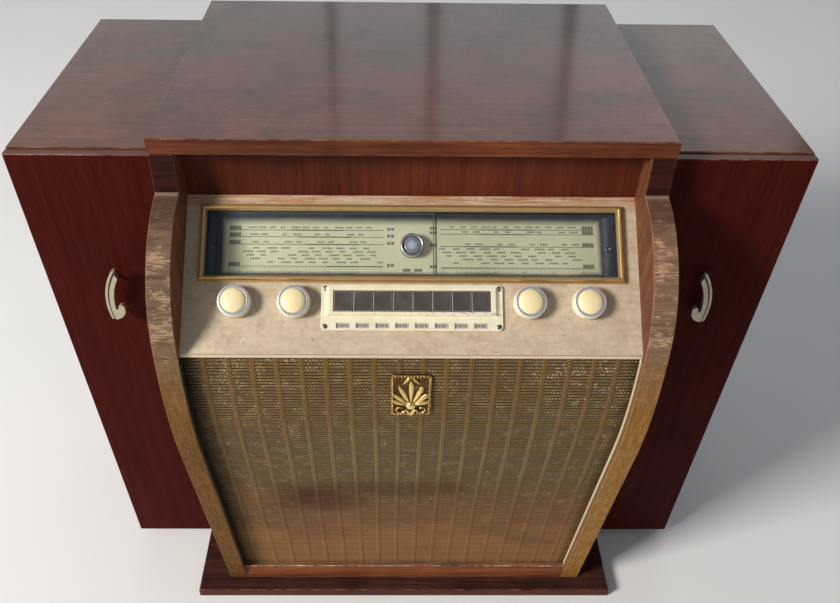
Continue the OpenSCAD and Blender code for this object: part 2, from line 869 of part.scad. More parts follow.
// a knob with its spindle
module knob(x) {
    end_n = apron_n - sheet_t - pot_h + 3.5;
    color([0.92, 0.84, 0.64])
        on_panel()
            translate([x, knob_s, 0]) {
                rotate_extrude()
                    polygon(concat(
                        [[0, knob_bore_h], [shaft_r + run, knob_bore_h], [shaft_r + run, 0.6],
                            [knob_r - 0.8, 0.6], [knob_r, 1.4], [knob_r - 0.4, ring_n - 0.6],
                            [knob_r - 0.8, ring_n],
                            [knob_r - 0.8, ring_n + 0.8], [knob_r - 1.4, ring_n + 1.4],
                            [knob_r - 2.6, ring_n + 1.2], [knob_r - 2.9, ring_n + 0.7],
                            [knob_r - 3.2, ring_n + 1.2], [knob_r - 4.4, ring_n + 1.4],
                            [cap_r, ring_n + 0.8]],
                        [for (a = [0 : 15 : 90])
                            [cap_r * cos(a), ring_n + 1.4 + (knob_h - ring_n - 1.4) * sin(a)]]));
                translate([0, 0, end_n]) cylinder(h = knob_bore_h - 0.2 - end_n, r = shaft_r);
            }
}

// dial
module bezel_bar2d() {
    translate([-bezel_bar / 2, 0]) square([bezel_bar, 2.8]);
    intersection() {
        translate([0, 2.8]) circle(bezel_bar / 2);
        translate([-bezel_bar / 2, 2.7]) square([bezel_bar, bezel_bar]);
    }
}

// one side of the bezel, mitred at both ends
module bezel_side(length, across) {
    intersection() {
        translate([-length / 2, -across / 2 + bezel_bar / 2, 0])
            rotate([90, 0, 90])
                linear_extrude(length) bezel_bar2d();
        translate([0, 0, -1])
            linear_extrude(20)
                polygon([[-length / 2, -across / 2], [length / 2, -across / 2],
                    [length / 2 - bezel_bar, -across / 2 + bezel_bar],
                    [-length / 2 + bezel_bar, -across / 2 + bezel_bar]]);
    }
}

module dial_bezel() {
    color([0.75, 0.6, 0.35])
        on_panel()
            translate([0, dial_s, 0])
                for (a = [0, 180]) {
                    rotate(a) bezel_side(bezel_w, bezel_h);
                    rotate(a + 90) bezel_side(bezel_h, bezel_w);
                }
}

module dial_glass() {
    color([0.85, 0.9, 0.9, 0.3])
        on_panel()
            difference() {
                translate([-hole_w / 2 + 0.2, dial_s - hole_h / 2 + 0.2, glass_n - glass_t])
                    cube([hole_w - 0.4, hole_h - 0.4, glass_t]);
                translate([0, eye_s, -20]) cylinder(h = 40, r = eye_r + clear);
            }
}

module dial_plate() {
    color([0.84, 0.82, 0.64])
        on_panel()
            difference() {
                translate([-hole_w / 2 + 0.2, dial_s - hole_h / 2 + 0.2, plate_n - plate_t])
                    cube([hole_w - 0.4, hole_h - 0.4, plate_t]);
                translate([0, eye_s, -20]) cylinder(h = 40, r = eye_r + clear);
            }
}

module dial_pointer() {
    top = dial_s + hole_h / 2 - 0.3;
    left_x = -pointer_x - pointer_travel;
    color([0.9, 0.85, 0.7])
        on_panel() {
            box(left_x - 3, pointer_x + 3, top - 2.2, top, -6.4, -5.4);
            for (x = [left_x, pointer_x])
                box(x - 0.5, x + 0.5, dial_s - hole_h / 2 + 6, top - 1, -6.4, -5.4);
        }
}

module magic_eye() {
    color([0.7, 0.72, 0.74])
        on_panel()
            translate([0, eye_s, 0]) {
                rotate_extrude()
                    polygon([[eye_r - 2.6, -11], [eye_r, -11], [eye_r, 1.2], [eye_r - 0.8, 2],
                        [eye_r - 2.6, 1]]);
                rotate_extrude()
                    polygon([[0, -72], [12, -72], [14, -70], [14, -14], [eye_r - 2.7, -12.4],
                        [eye_r - 2.7, -0.5], [0, 0.6]]);
            }
}

// the key surround: a flat plate with a raised, bevelled frame round the keys
module key_escutcheon() {
    ridge_w = keys_w + 18;
    ridge_h = well_h + 9;
    color([0.92, 0.88, 0.76])
        on_panel()
            difference() {
                union() {
                    translate([0, escutcheon_s + escutcheon_h / 2, 0])
                        linear_extrude(2.5) rounded2d(escutcheon_w, escutcheon_h, 5);
                    difference() {
                        box(-ridge_w / 2, ridge_w / 2, key_s - ridge_h / 2, key_s + ridge_h / 2, 1, 6);
                        for (x = [-1, 1])
                            translate([x * ridge_w / 2, key_s, 2.5])
                                rotate([0, -x * 45, 0])
                                    translate([x > 0 ? 0 : -20, -60, 0]) cube([20, 120, 20]);
                    }
                }
                box(-keys_w / 2 - clear, keys_w / 2 + clear, key_s - well_h / 2, key_s + well_h / 2,
                    -1, 10);
                for (i = [0 : key_count - 1])
                    translate([(i - 3.5) * key_pitch - 7.5, escutcheon_s + 2.5, 1]) cube([15, 6, 5]);
            }
}

// side cases
module wing_top() {
    box(cheek_x, wing_x, wing_front_y, back_y, wing_under, wing_top_z);
}

module wing_tops() {
    color([0.32, 0.14, 0.08]) {
        wing_top();
        left() wing_top();
    }
}

module wing_case() {
    inside_y = back_y - wing_back_t;
    inside_x = wing_in - run;
    difference() {
        box(wing_in, wing_x, wing_front_y, back_y, plinth_t, wing_under);
        door_hinges_at() hinge_room(hinge_len);
    }
    box(cheek_x, inside_x, wing_front_y, inside_y - run, plinth_t, plinth_t + board_t);
    box(cheek_x, inside_x, inside_y, back_y, plinth_t, wing_under);
    box(cheek_x, inside_x, wing_front_y + 20, inside_y - run, shelf_z - shelf_t / 2,
        shelf_z + shelf_t / 2);
}

module left_wing_case() {
    color([0.34, 0.16, 0.09]) left() wing_case();
}

module right_wing_case() {
    color([0.34, 0.16, 0.09]) wing_case();
}

module door() {
    difference() {
        box(door_x0, wing_x, door_front_y, door_back_y, door_z0, door_z1);
        door_hinges_at() hinge_room(hinge_len);
    }
}

module left_door() {
    color([0.3, 0.1, 0.07]) left() door();
}

module right_door() {
    color([0.3, 0.1, 0.07]) door();
}

// where the bow runs: over the middle of the hook, and inside the hook's round under it
module bow_room2d() {
    translate([hook_x, hook_y]) circle(hook_r);
    translate([-2 * handle_h, hook_y]) square([4 * handle_h, handle_h / 2 - hook_y]);
}

// a band of the bow across the door, set in from its outer edge
module bow2d(inset, width) {
    intersection() {
        translate([bow_out - bow_r, -bow_low])
            difference() {
                circle(bow_r - inset);
                circle(bow_r - inset - width);
            }
        bow_room2d();
    }
}

// the hook under the bow, which ends in from the bow's outer edge, with a neck up to its curled tip
module hook2d(inset) {
    intersection() {
        translate([hook_x, hook_y]) circle(hook_r);
        translate([bow_out - bow_r, -bow_low]) circle(bow_r - inset);
        union() {
            translate([-2 * handle_h, notch_y - 4 * handle_h]) square(4 * handle_h);
            translate([neck_x - 4 * handle_h, curl_y - 4 * handle_h]) square(4 * handle_h);
        }
    }
    translate([curl_x, curl_y]) circle(curl_r);
}

// what lies under the slanting cut across the bow's upper end
module under_tip() {
    intersection() {
        children();
        translate([tip_x, handle_h / 2])
            rotate(tip_a)
                translate([-handle_h, -2 * handle_h]) square(2 * handle_h);
    }
}

// a flat layer of the bow, as thick as asked
module layer(thick) {
    translate([0, 0, handle_gap]) linear_extrude(thick) children();
}

// a bow of two ribs on a web, on two feet that hold it off the door, with a hook under it
module handle() {
    on_door() {
        layer(web_t) {
            under_tip() bow2d(0, rib_w + groove_w + bar_w);
            hook2d(0);
        }
        layer(thin_rib_t) bow2d(0, rib_w);
        layer(broad_rib_t) {
            under_tip() bow2d(rib_w + groove_w, bar_w);
            hook2d(rib_w + groove_w);
        }
        for (at = [[hook_foot_x, hook_foot_y, 0], [post_x, post_y, 0]])
            translate(at) cylinder(h = handle_gap + web_t / 2, r = foot_r);
    }
}

module left_door_handle() {
    color([0.85, 0.76, 0.58]) left() handle();
}

module right_door_handle() {
    color([0.85, 0.76, 0.58]) handle();
}

module left_door_leaves() {
    color([0.7, 0.55, 0.28]) left() door_hinges_at() moving_leaf(hinge_len);
}

module right_door_leaves() {
    color([0.7, 0.55, 0.28]) door_hinges_at() moving_leaf(hinge_len);
}

module fixed_hinge_leaves() {
    color([0.7, 0.55, 0.28]) {
        door_hinges_at() fixed_leaf(hinge_len);
        left() door_hinges_at() fixed_leaf(hinge_len);
        lid_hinges_at() fixed_leaf(lid_hinge_len);
    }
}

// lid
module lid() {
    color([0.36, 0.16, 0.1])
        difference() {
            box(-cheek_x, cheek_x, lid_front_y, lid_back_y, lid_z, body_h);
            lid_hinges_at() hinge_room(lid_hinge_len);
        }
}

module lid_hinge_leaves() {
    color([0.7, 0.55, 0.28]) lid_hinges_at() moving_leaf(lid_hinge_len);
}

// sector of a ring about the lid's axis, angles from the front downwards
module stay2d(r0, r1, a0, a1) {
    mid = (a0 + a1) / 2;
    translate([lid_back_y, lid_axis_z])
        intersection() {
            difference() {
                circle(r1);
                circle(r0);
            }
            polygon([[0, 0], -2 * r1 * [cos(a0), sin(a0)], -2 * r1 * [cos(mid), sin(mid)],
                -2 * r1 * [cos(a1), sin(a1)]]);
        }
}

module lid_stay() {
    foot_y = lid_back_y - stay_r;
    color([0.7, 0.55, 0.28])
        left() {
            along_x(stay_x - stay_t, stay_x)
                stay2d(stay_r - stay_w / 2, stay_r + stay_w / 2, 0, stop_a + 3);
            box(stay_x - 9, stay_x + 6, foot_y - 14, foot_y + 14, lid_z - 3, lid_z);
            translate([stay_x - 7, lid_back_y - stay_r * cos(stop_a), lid_axis_z - stay_r * sin(stop_a)])
                rotate([0, 90, 0])
                    cylinder(h = 11, r = 3);
        }
}

module stay_guide() {
    guide_y = lid_back_y - stay_r;
    color([0.7, 0.55, 0.28])
        left()
            difference() {
                box(stay_x - 7, inner_x, guide_y - 10, guide_y + 12,
                    lid_axis_z - stay_r * sin(guide_a1), lid_axis_z - stay_r * sin(guide_a0));
                along_x(stay_x - stay_t - 0.3, stay_x + 0.3)
                    stay2d(stay_r - stay_w / 2 - 0.3, stay_r + stay_w / 2 + 0.3, -5, 40);
            }
}

plinth();
left_cheek();
right_cheek();
fascia_board();
control_panel();
grille_rail();
grille_cloth();
baffle_board();
speaker_frame();
speaker_cone();
back_rail();
back_panel();
cable_gland();
motor_board();
record_spindle();
tonearm_base();
phono_motor();
chassis();
chassis_valves();
control_pots();
key_switch();
tuning_capacitor();
tuning_rotor();
dial_bezel();
dial_glass();
dial_plate();
dial_pointer();
magic_eye();
key_escutcheon();
grille_emblem();
wing_tops();
left_wing_case();
right_wing_case();
fixed_hinge_leaves();
stay_guide();
lid();
lid_hinge_leaves();
lid_stay();
left_door();
left_door_handle();
left_door_leaves();
right_door();
right_door_handle();
right_door_leaves();
platter();
platter_mat();
tonearm_yoke();
tonearm();
knob(-knob_x_outer);  // volume_knob
knob(-knob_x_inner);  // bass_knob
knob(knob_x_inner);  // treble_knob
knob(knob_x_outer);  // tuning_knob
wave_key(1);  // wave_key_1
wave_key(2);  // wave_key_2
wave_key(3);  // wave_key_3
wave_key(4);  // wave_key_4
wave_key(5);  // wave_key_5
wave_key(6);  // wave_key_6
wave_key(7);  // wave_key_7
wave_key(8);  // wave_key_8
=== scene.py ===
"""Looks of a console radio with a record player under its lid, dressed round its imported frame.

Metres. X runs to the right, the front faces -Y, Z runs up from the floor.
"""
import math

import bmesh
import bpy
from mathutils import Matrix, Vector


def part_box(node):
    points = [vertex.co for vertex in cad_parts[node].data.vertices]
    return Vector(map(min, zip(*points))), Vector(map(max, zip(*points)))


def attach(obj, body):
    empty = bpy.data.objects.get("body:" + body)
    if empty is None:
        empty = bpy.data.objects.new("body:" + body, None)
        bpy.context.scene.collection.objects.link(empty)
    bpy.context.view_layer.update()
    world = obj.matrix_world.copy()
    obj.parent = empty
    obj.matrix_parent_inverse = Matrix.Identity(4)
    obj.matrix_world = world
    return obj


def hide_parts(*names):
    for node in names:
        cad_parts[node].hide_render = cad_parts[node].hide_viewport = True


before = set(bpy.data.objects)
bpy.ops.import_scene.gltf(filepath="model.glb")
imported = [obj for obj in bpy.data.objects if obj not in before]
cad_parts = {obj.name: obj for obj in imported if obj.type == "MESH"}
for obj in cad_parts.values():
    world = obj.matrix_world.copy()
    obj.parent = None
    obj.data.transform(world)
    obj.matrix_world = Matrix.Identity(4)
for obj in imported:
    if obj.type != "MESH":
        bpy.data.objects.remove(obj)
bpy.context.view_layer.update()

MM = 0.001
NEAR = 0.001 * MM
UP = Vector((0, 0, 1))

# Places taken from the frame
lid_lo, lid_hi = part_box("lid")
cheek_lo, cheek_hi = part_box("right_cheek")
panel_lo, panel_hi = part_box("control_panel")
cloth_lo, cloth_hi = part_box("grille_cloth")
rail_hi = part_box("grille_rail")[1]
emblem_lo, emblem_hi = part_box("grille_emblem")
wings_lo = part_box("wing_tops")[0]

# The slope of the control panel: X across, Y up the slope, Z out of the panel
PANEL_SLOPE = math.radians(38.7)
nose_z = panel_hi.z - (panel_hi.y - panel_lo.y) * math.tan(PANEL_SLOPE)
PANEL = Matrix.Translation((0, panel_lo.y, nose_z)) @ Matrix.Rotation(PANEL_SLOPE, 4, "X")

# The belly of the front, and the straight leg under it
BELLY_R = 559 * MM
BELLY_Z = 484 * MM
LEG_LEAN = math.radians(8.6)
GRILLE_RECESS = 12 * MM
belly_y = cheek_lo.y + BELLY_R

# The crease across the front of a cheek, under its straight top
crease_z = max(v.co.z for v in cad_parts["right_cheek"].data.vertices
               if v.co.z < cheek_hi.z - 5 * MM and v.co.y < 0)


def panel_box(node):
    """The two corners of a CAD node in the panel's own directions."""
    points = [PANEL.inverted() @ v.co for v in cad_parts[node].data.vertices]
    return [Vector([end(p[i] for p in points) for i in range(3)]) for end in (min, max)]


# Dial: its opening, the depth of its plate, the painted scale and the tuning eye
glass_lo, glass_hi = panel_box("dial_glass")
DIAL_S = (glass_lo.y + glass_hi.y) / 2
PLATE_N = panel_box("dial_plate")[1].z
SCALE_W = 424 * MM
SCALE_H = 66 * MM
SCALE_S = DIAL_S - 1 * MM
EYE_S = DIAL_S - 1 * MM
EYE_R = 13 * MM

# The opening for the keys
KEY_GAP = 0.4 * MM
KEYS_APART = 0.6 * MM
keys_lo = panel_box("wave_key_1")[0]
keys_hi = panel_box("wave_key_8")[1]
KEY_COUNT = 8
KEY_PITCH = (keys_hi.x - keys_lo.x + KEYS_APART) / KEY_COUNT
KEY_S = (keys_lo.y + keys_hi.y) / 2
well_w = keys_hi.x - keys_lo.x + 2 * KEY_GAP
well_h = keys_hi.y - keys_lo.y + 2 * KEY_GAP

# Grille
RIBBON_COUNT = 18
RIBBON_PITCH = 26.66 * MM
RIBBON_W = 6.3 * MM
CORD_PITCH = 4.64 * MM


# Mesh tools

def mesh_object(name, bm, finishes):
    """Turns a bmesh into an object of the scene."""
    mesh = bpy.data.meshes.new(name)
    bm.to_mesh(mesh)
    bm.free()
    for finish in finishes:
        mesh.materials.append(finish)
    made = bpy.data.objects.new(name, mesh)
    bpy.context.scene.collection.objects.link(made)
    return made


def piece(name, bm, finishes, body, replaces=(), crease=35, even=True):
    """Turns a bmesh into a finished piece that rides on a body."""
    bmesh.ops.remove_doubles(bm, verts=bm.verts[:], dist=0.1 * NEAR)
    bmesh.ops.recalc_face_normals(bm, faces=bm.faces[:])
    made = mesh_object(name, bm, finishes)
    made.data.shade_smooth()
    made.data.set_sharp_from_angle(angle=math.radians(crease))
    if even:
        made.modifiers.new("even_shading", "WEIGHTED_NORMAL").keep_sharp = True
    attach(made, body)
    if replaces:
        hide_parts(*replaces)
    return made


def move(bm, verts, matrix):
    bmesh.ops.transform(bm, matrix=matrix, space=Matrix.Identity(4), verts=verts)


def on_slope(bm, x=0, s=0, n=0):
    """Moves what was made flat onto the panel: across, up the slope and out of it."""
    move(bm, bm.verts, PANEL @ Matrix.Translation((x, s, n)))


def added(bm, before):
    """The vertices that were made since the set before was taken."""
    return [v for v in bm.verts if v not in before]


def block(bm, lo, hi):
    """A plain box between two corners."""
    lo, hi = Vector(lo), Vector(hi)
    verts = bmesh.ops.create_cube(bm, size=1)["verts"]
    bmesh.ops.scale(bm, vec=hi - lo, verts=verts)
    bmesh.ops.translate(bm, vec=(lo + hi) / 2, verts=verts)
    return verts


def plate(bm, width, height, corner=0, segments=6):
    """A flat face with round corners that looks along +Z."""
    before = set(bm.faces)
    verts = bmesh.ops.create_grid(bm, x_segments=1, y_segments=1, size=0.5)["verts"]
    bmesh.ops.scale(bm, vec=(width, height, 1), verts=verts)
    if corner:
        bmesh.ops.bevel(bm, geom=verts, offset=corner, affect="VERTICES", segments=segments,
                        profile=0.5, material=-1)
    (face,) = set(bm.faces) - before
    return face


def build_up(bm, face, steps):
    """Takes a face outwards in steps of (inset, rise) in millimetres, and returns it where it ends."""
    for inset, rise in steps:
        face.normal_update()
        if inset:
            bmesh.ops.inset_region(bm, faces=[face], thickness=inset * MM, depth=rise * MM,
                                   use_even_offset=True, use_boundary=True)
        else:
            outwards, old = face.normal * (rise * MM), face
            made = bmesh.ops.extrude_face_region(bm, geom=[old])["geom"]
            face = next(g for g in made if isinstance(g, bmesh.types.BMFace))
            bmesh.ops.translate(bm, vec=outwards, verts=face.verts)
            if old.is_valid and all(len(e.link_faces) > 2 for e in old.edges):
                bmesh.ops.delete(bm, geom=[old], context="FACES_ONLY")
    return face


def draw_out(bm, edges, along):
    """Draws edges out into walls along a vector."""
    made = bmesh.ops.extrude_edge_only(bm, edges=edges)["geom"]
    bmesh.ops.translate(bm, vec=along, verts=[g for g in made if isinstance(g, bmesh.types.BMVert)])


def quarter_round(width, rise, steps):
    """Steps of (inset, rise) in millimetres that round an edge over."""
    turn = [math.pi / 2 * i / steps for i in range(steps + 1)]
    return [(width * (math.cos(a) - math.cos(b)), rise * (math.sin(b) - math.sin(a)))
            for a, b in zip(turn, turn[1:])]


def bore(bm, face):
    """Opens a built-up solid from its end face through to its base."""
    bmesh.ops.recalc_face_normals(bm, faces=bm.faces[:])
    base = max((f for f in bm.faces if f.normal.z < -0.5), key=lambda f: f.calc_area())
    bmesh.ops.delete(bm, geom=[face, base], context="FACES_ONLY")
    bmesh.ops.bridge_loops(bm, edges=[e for e in bm.edges if e.is_boundary])


def turned(bm, profile, steps=64, finish=0, turn=math.tau):
    """Spins a profile of (radius, height) in millimetres about Z."""
    before = set(bm.faces)
    verts = [bm.verts.new((r * MM, 0, h * MM)) for r, h in profile]
    edges = [bm.edges.new(pair) for pair in zip(verts, verts[1:])]
    bmesh.ops.spin(bm, geom=verts + edges, cent=(0, 0, 0), axis=UP, angle=turn, steps=steps,
                   use_merge=turn == math.tau)
    for face in set(bm.faces) - before:
        face.material_index = finish


def soften(bm, edges, radius):
    """Rounds edges, and marks the round as the place where a finish wears first."""
    wear = bm.faces.layers.float.get("wear") or bm.faces.layers.float.new("wear")
    rounded = bmesh.ops.bevel(bm, geom=edges, offset=radius, offset_type="OFFSET", affect="EDGES",
                              segments=3, profile=0.5, material=-1, clamp_overlap=True)
    for face in rounded["faces"]:
        face[wear] = 1


def dome(rim, low, high, steps):
    """The profile of a dome, from its rim to just short of its pole."""
    turns = [math.pi / 2 * i / steps for i in range(steps)]
    return [(rim * math.cos(a), low + (high - low) * math.sin(a)) for a in turns]


def thicken(made, name, thickness, offset=-1):
    """Gives an open sheet its thickness."""
    thick = made.modifiers.new(name, "SOLIDIFY")
    thick.thickness = thickness
    thick.offset = offset


def solid_of(node):
    """A merged copy of a CAD node's mesh, with its flat faces joined."""
    bm = bmesh.new()
    bm.from_mesh(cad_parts[node].data)
    bmesh.ops.remove_doubles(bm, verts=bm.verts[:], dist=NEAR)
    bmesh.ops.dissolve_limit(bm, angle_limit=math.radians(0.3), verts=bm.verts[:], edges=bm.edges[:])
    for face in bm.faces:
        face.material_index = 0
    return bm


def sharp_edges(bm, shortest):
    """The sharp outer edges of a solid that are long enough to be rounded."""
    least = math.radians(50)
    return [e for e in bm.edges if len(e.link_faces) == 2 and e.calc_length() > shortest
            and e.is_convex and e.calc_face_angle() > least]


# Finish tools

class Finish:
    """A material that is made node by node."""

    def __init__(self, name, **sockets):
        self.material = bpy.data.materials.new(name)
        self.material.use_nodes = True
        self.tree = self.material.node_tree
        self.surface = self.tree.nodes["Principled BSDF"]
        for socket, value in sockets.items():
            self.surface.inputs[socket.replace("_", " ")].default_value = value

    def node(self, kind, inputs, **settings):
        made = self.tree.nodes.new("ShaderNode" + kind)
        for setting, value in settings.items():
            setattr(made, setting, value)
        for socket, value in inputs.items():
            self.feed(made.inputs[socket], value)
        return made

    def feed(self, socket, value):
        if isinstance(value, bpy.types.NodeSocket):
            self.tree.links.new(value, socket)
        elif socket.type == "RGBA":
            socket.default_value = (*value, 1)
        else:
            socket.default_value = value

    def where(self, scale=(1, 1, 1), shift=(0, 0, 0), turn=(0, 0, 0)):
        """Object coordinates, stretched, shifted and turned."""
        coords = self.node("TexCoord", {}).outputs["Object"]
        return self.node("Mapping", {"Vector": coords, "Scale": scale, "Location": shift,
                                     "Rotation": turn}).outputs["Vector"]

    def at(self, name):
        """The object coordinate along one axis."""
        return self.axis(self.where(), name)

    def stretched(self, vector, scale):
        return self.node("Mapping", {"Vector": vector, "Scale": scale}).outputs["Vector"]

    def on_panel(self):
        """Coordinates on the panel: X across, Y up the slope, Z out of it."""
        inverse = PANEL.inverted()
        return self.where(shift=inverse.to_translation(), turn=(-PANEL_SLOPE, 0, 0))

    def axis(self, vector, name):
        return self.node("SeparateXYZ", {"Vector": vector}).outputs[name]

    def noise(self, vector, scale, detail, rough=0.5, bend=0):
        return self.node("TexNoise", {"Vector": vector, "Scale": scale, "Detail": detail,
                                      "Roughness": rough, "Distortion": bend}).outputs["Fac"]

    def streaks(self, scale, *kind):
        """Noise that is drawn out along an axis of the object."""
        return self.noise(self.where(scale), 1, *kind)

    def span(self, value, low, high, to_low=0, to_high=1):
        """Maps a value from one range to another, held at the ends."""
        return self.node("MapRange", {"Value": value, "From Min": low, "From Max": high,
                                      "To Min": to_low, "To Max": to_high}).outputs["Result"]

    def calc(self, kind, a, b=0):
        made = self.node("Math", {}, operation=kind)
        self.feed(made.inputs[0], a)
        self.feed(made.inputs[1], b)
        return made.outputs["Value"]

    def times(self, a, b):
        return self.calc("MULTIPLY", a, b)

    def plus(self, a, b):
        return self.calc("ADD", a, b)

    def less(self, a, b):
        return self.calc("SUBTRACT", a, b)

    def most(self, a, b):
        return self.calc("MAXIMUM", a, b)

    def size(self, a):
        return self.calc("ABSOLUTE", a)

    def band(self, value, middle, half, soft):
        """1 within half of the middle, falling to 0 over soft."""
        return self.span(self.size(self.less(value, middle)), half + soft, half)

    def mix(self, share, a, b, blend="MIX"):
        made = self.node("Mix", {}, data_type="RGBA", blend_type=blend)
        self.feed(made.inputs[0], share)
        self.feed(made.inputs[6], a)
        self.feed(made.inputs[7], b)
        return made.outputs[2]

    def ramp(self, share, *stops):
        made = self.node("ValToRGB", {"Fac": share})
        elements = made.color_ramp.elements
        while len(elements) < len(stops):
            elements.new(0.5)
        for element, (position, colour) in zip(elements, stops):
            element.position = position
            element.color = (*colour, 1)
        return made.outputs["Color"]

    def attribute(self, name):
        return self.node("Attribute", {}, attribute_name=name).outputs["Fac"]

    def colour(self, value):
        self.feed(self.surface.inputs["Base Color"], value)

    def rough(self, value, from_rough, to_rough, low=0.3, high=0.7):
        """Roughness that follows a value from low to high."""
        self.feed(self.surface.inputs["Roughness"], self.span(value, low, high, from_rough, to_rough))

    def bump(self, height, depth, strength):
        made = self.node("Bump", {"Height": height, "Distance": depth, "Strength": strength})
        self.feed(self.surface.inputs["Normal"], made.outputs["Normal"])


# Finishes of the wood

GRAIN = {
    "X": ((5, 150, 150), (40, 1300, 1300)),
    "Y": ((150, 5, 150), (1300, 40, 1300)),
    "Z": ((150, 150, 5), (1300, 1300, 40)),
}


def weathered(made, tone, place, haze, bloom, front):
    """Years on a level top, with a painted sky reflection: a dull bloom and a painted sheen towards the
    back, dark smudges and short fine cracks.
    """
    # The haze is partly a bloom of the lacquer and partly a painted reflection of the sky, stronger towards
    # the back
    bloom_and_sheen = made.span(made.noise(place, 9, 6, 0.62, 0.8), 0.36, 0.72, *bloom)
    away = made.span(made.at("Y"), front, lid_hi.y - 120 * MM, 0.05, 1)
    tone = made.mix(made.times(bloom_and_sheen, away), tone, haze)
    smudges = made.noise(made.where((7, 8, 8), (0.43, 0, 0)), 1, 4, 0.6, 0.3)
    tone = made.mix(made.span(smudges, 0.46, 0.72, 0, 0.7), tone, [c * 0.3 for c in haze])
    cracks = made.streaks((150, 900, 900), 3, 0.6)
    cracked = made.times(made.span(cracks, 0.56, 0.64), made.span(smudges, 0.35, 0.55, 0.1, 0.8))
    return made.mix(cracked, tone, (0.015, 0.01, 0.008))


def wood(name, grain, dark, light, gloss, worn=(0.34, 0.2, 0.11), haze=None, front=lid_lo.y,
         matched=False, figure=0.5, coat=0, shine=0.4, bloom=(0.1, 0.75), polish=0.16):
    """Veneer under lacquer. grain is the axis the fibres run along, haze the colour of a dull bloom on the
    lacquer and of a painted sky reflection over it.
    """
    made = Finish(name, Coat_Weight=coat, Coat_Roughness=polish, Coat_IOR=1.45, Specular_IOR_Level=shine)
    stretch, fine = GRAIN[grain]
    place = made.where(shift=(0, 2, 0))
    if matched:
        place = made.node("VectorMath", {0: place}, operation="ABSOLUTE").outputs["Vector"]
    fibres = made.noise(made.stretched(place, stretch), 1, 6, 0.6, 0.7)
    pores = made.noise(made.stretched(place, fine), 1, 2, 0.5)
    clouds = made.noise(place, 6, 4, 0.6, 0.4)
    middle = [(a + b) / 2 for a, b in zip(dark, light)]
    tone = made.ramp(fibres, (0.32, dark), (0.52, middle), (0.72, light))
    shade = made.ramp(clouds, (0.3, (1 - figure,) * 3), (0.7, (1 + 0.4 * figure,) * 3))
    tone = made.mix(1, tone, shade, "MULTIPLY")
    pitted = made.span(pores, 0.57, 0.68)
    tone = made.mix(made.times(pitted, 0.55), tone, [c * 0.35 for c in dark])
    scuffs = made.noise(made.where(), 55, 5, 0.65)
    if haze:
        tone = weathered(made, tone, place, haze, bloom, front)
    rubbed = made.times(made.attribute("wear"), made.span(scuffs, 0.42, 0.66, 0, 0.8))
    tone = made.mix(rubbed, tone, worn)
    made.colour(tone)
    made.rough(scuffs, gloss, gloss + 0.16)
    made.bump(made.less(fibres, pitted), 0.25 * MM, 0.35)
    return made.material


lid_wood = wood("lid_mahogany", "X", (0.16, 0.048, 0.029), (0.23, 0.078, 0.047), 0.45,
                worn=(0.25, 0.11, 0.065), haze=(0.074, 0.058, 0.053), matched=True, figure=0.3,
                coat=0.86, shine=0.15, bloom=(0.6, 1), polish=0.1)
lid_edge = wood("lid_edge_mahogany", "X", (0.09, 0.02, 0.008), (0.22, 0.064, 0.024), 0.4,
                worn=(0.27, 0.105, 0.045), figure=0.4, shine=0.12)
wing_wood = wood("wing_top_mahogany", "X", (0.14, 0.046, 0.023), (0.21, 0.074, 0.036), 0.45,
                 worn=(0.27, 0.13, 0.08), haze=(0.1, 0.068, 0.053), front=wings_lo.y, coat=0.8, shine=0.15,
                 bloom=(0.4, 1), polish=0.12)
# The doors' top faces get a lighter copy of the door mahogany: painted light and sheen from above
lit_door_top = wood("door_top_mahogany", "X", (0.085, 0.03, 0.018), (0.18, 0.068, 0.045), 0.45,
                worn=(0.27, 0.13, 0.08), coat=0.45, shine=0.15)
door_wood = wood("door_mahogany", "Z", (0.044, 0.0045, 0.0028), (0.07, 0.0085, 0.0052), 0.42,
                 worn=(0.2, 0.06, 0.035), figure=0.2, shine=0.03)
case_wood = wood("case_mahogany", "Z", (0.036, 0.007, 0.005), (0.1, 0.022, 0.013), 0.4, figure=0.3,
                 coat=0.04, shine=0.2)
fascia_wood = wood("fascia_mahogany", "Z", (0.085, 0.0155, 0.007), (0.145, 0.031, 0.012), 0.4,
                   figure=0.35, shine=0.1)
cheek_wood = wood("cheek_mahogany", "Z", (0.12, 0.034, 0.013), (0.29, 0.105, 0.045), 0.4, coat=0.04,
                  shine=0.2)
rail_ledge = wood("rail_ledge", "X", (0.16, 0.075, 0.036), (0.3, 0.16, 0.085), 0.5,
                  worn=(0.78, 0.58, 0.4), shine=0.15)
rail_wood = wood("rail_mahogany", "X", (0.14, 0.038, 0.014), (0.33, 0.11, 0.045), 0.45,
                 worn=(0.66, 0.42, 0.22), figure=0.3, shine=0.15)
plinth_wood = wood("plinth_mahogany", "X", (0.034, 0.012, 0.009), (0.095, 0.034, 0.025), 0.42,
                   worn=(0.18, 0.06, 0.035), coat=0.03, shine=0.12)
plinth_edge = wood("plinth_edge_mahogany", "X", (0.055, 0.011, 0.007), (0.12, 0.028, 0.017), 0.42,
                   worn=(0.2, 0.07, 0.04), figure=0.3, coat=0.03, shine=0.12)
carcass_wood = wood("carcass_beech", "Y", (0.3, 0.19, 0.1), (0.5, 0.34, 0.2), 0.6)


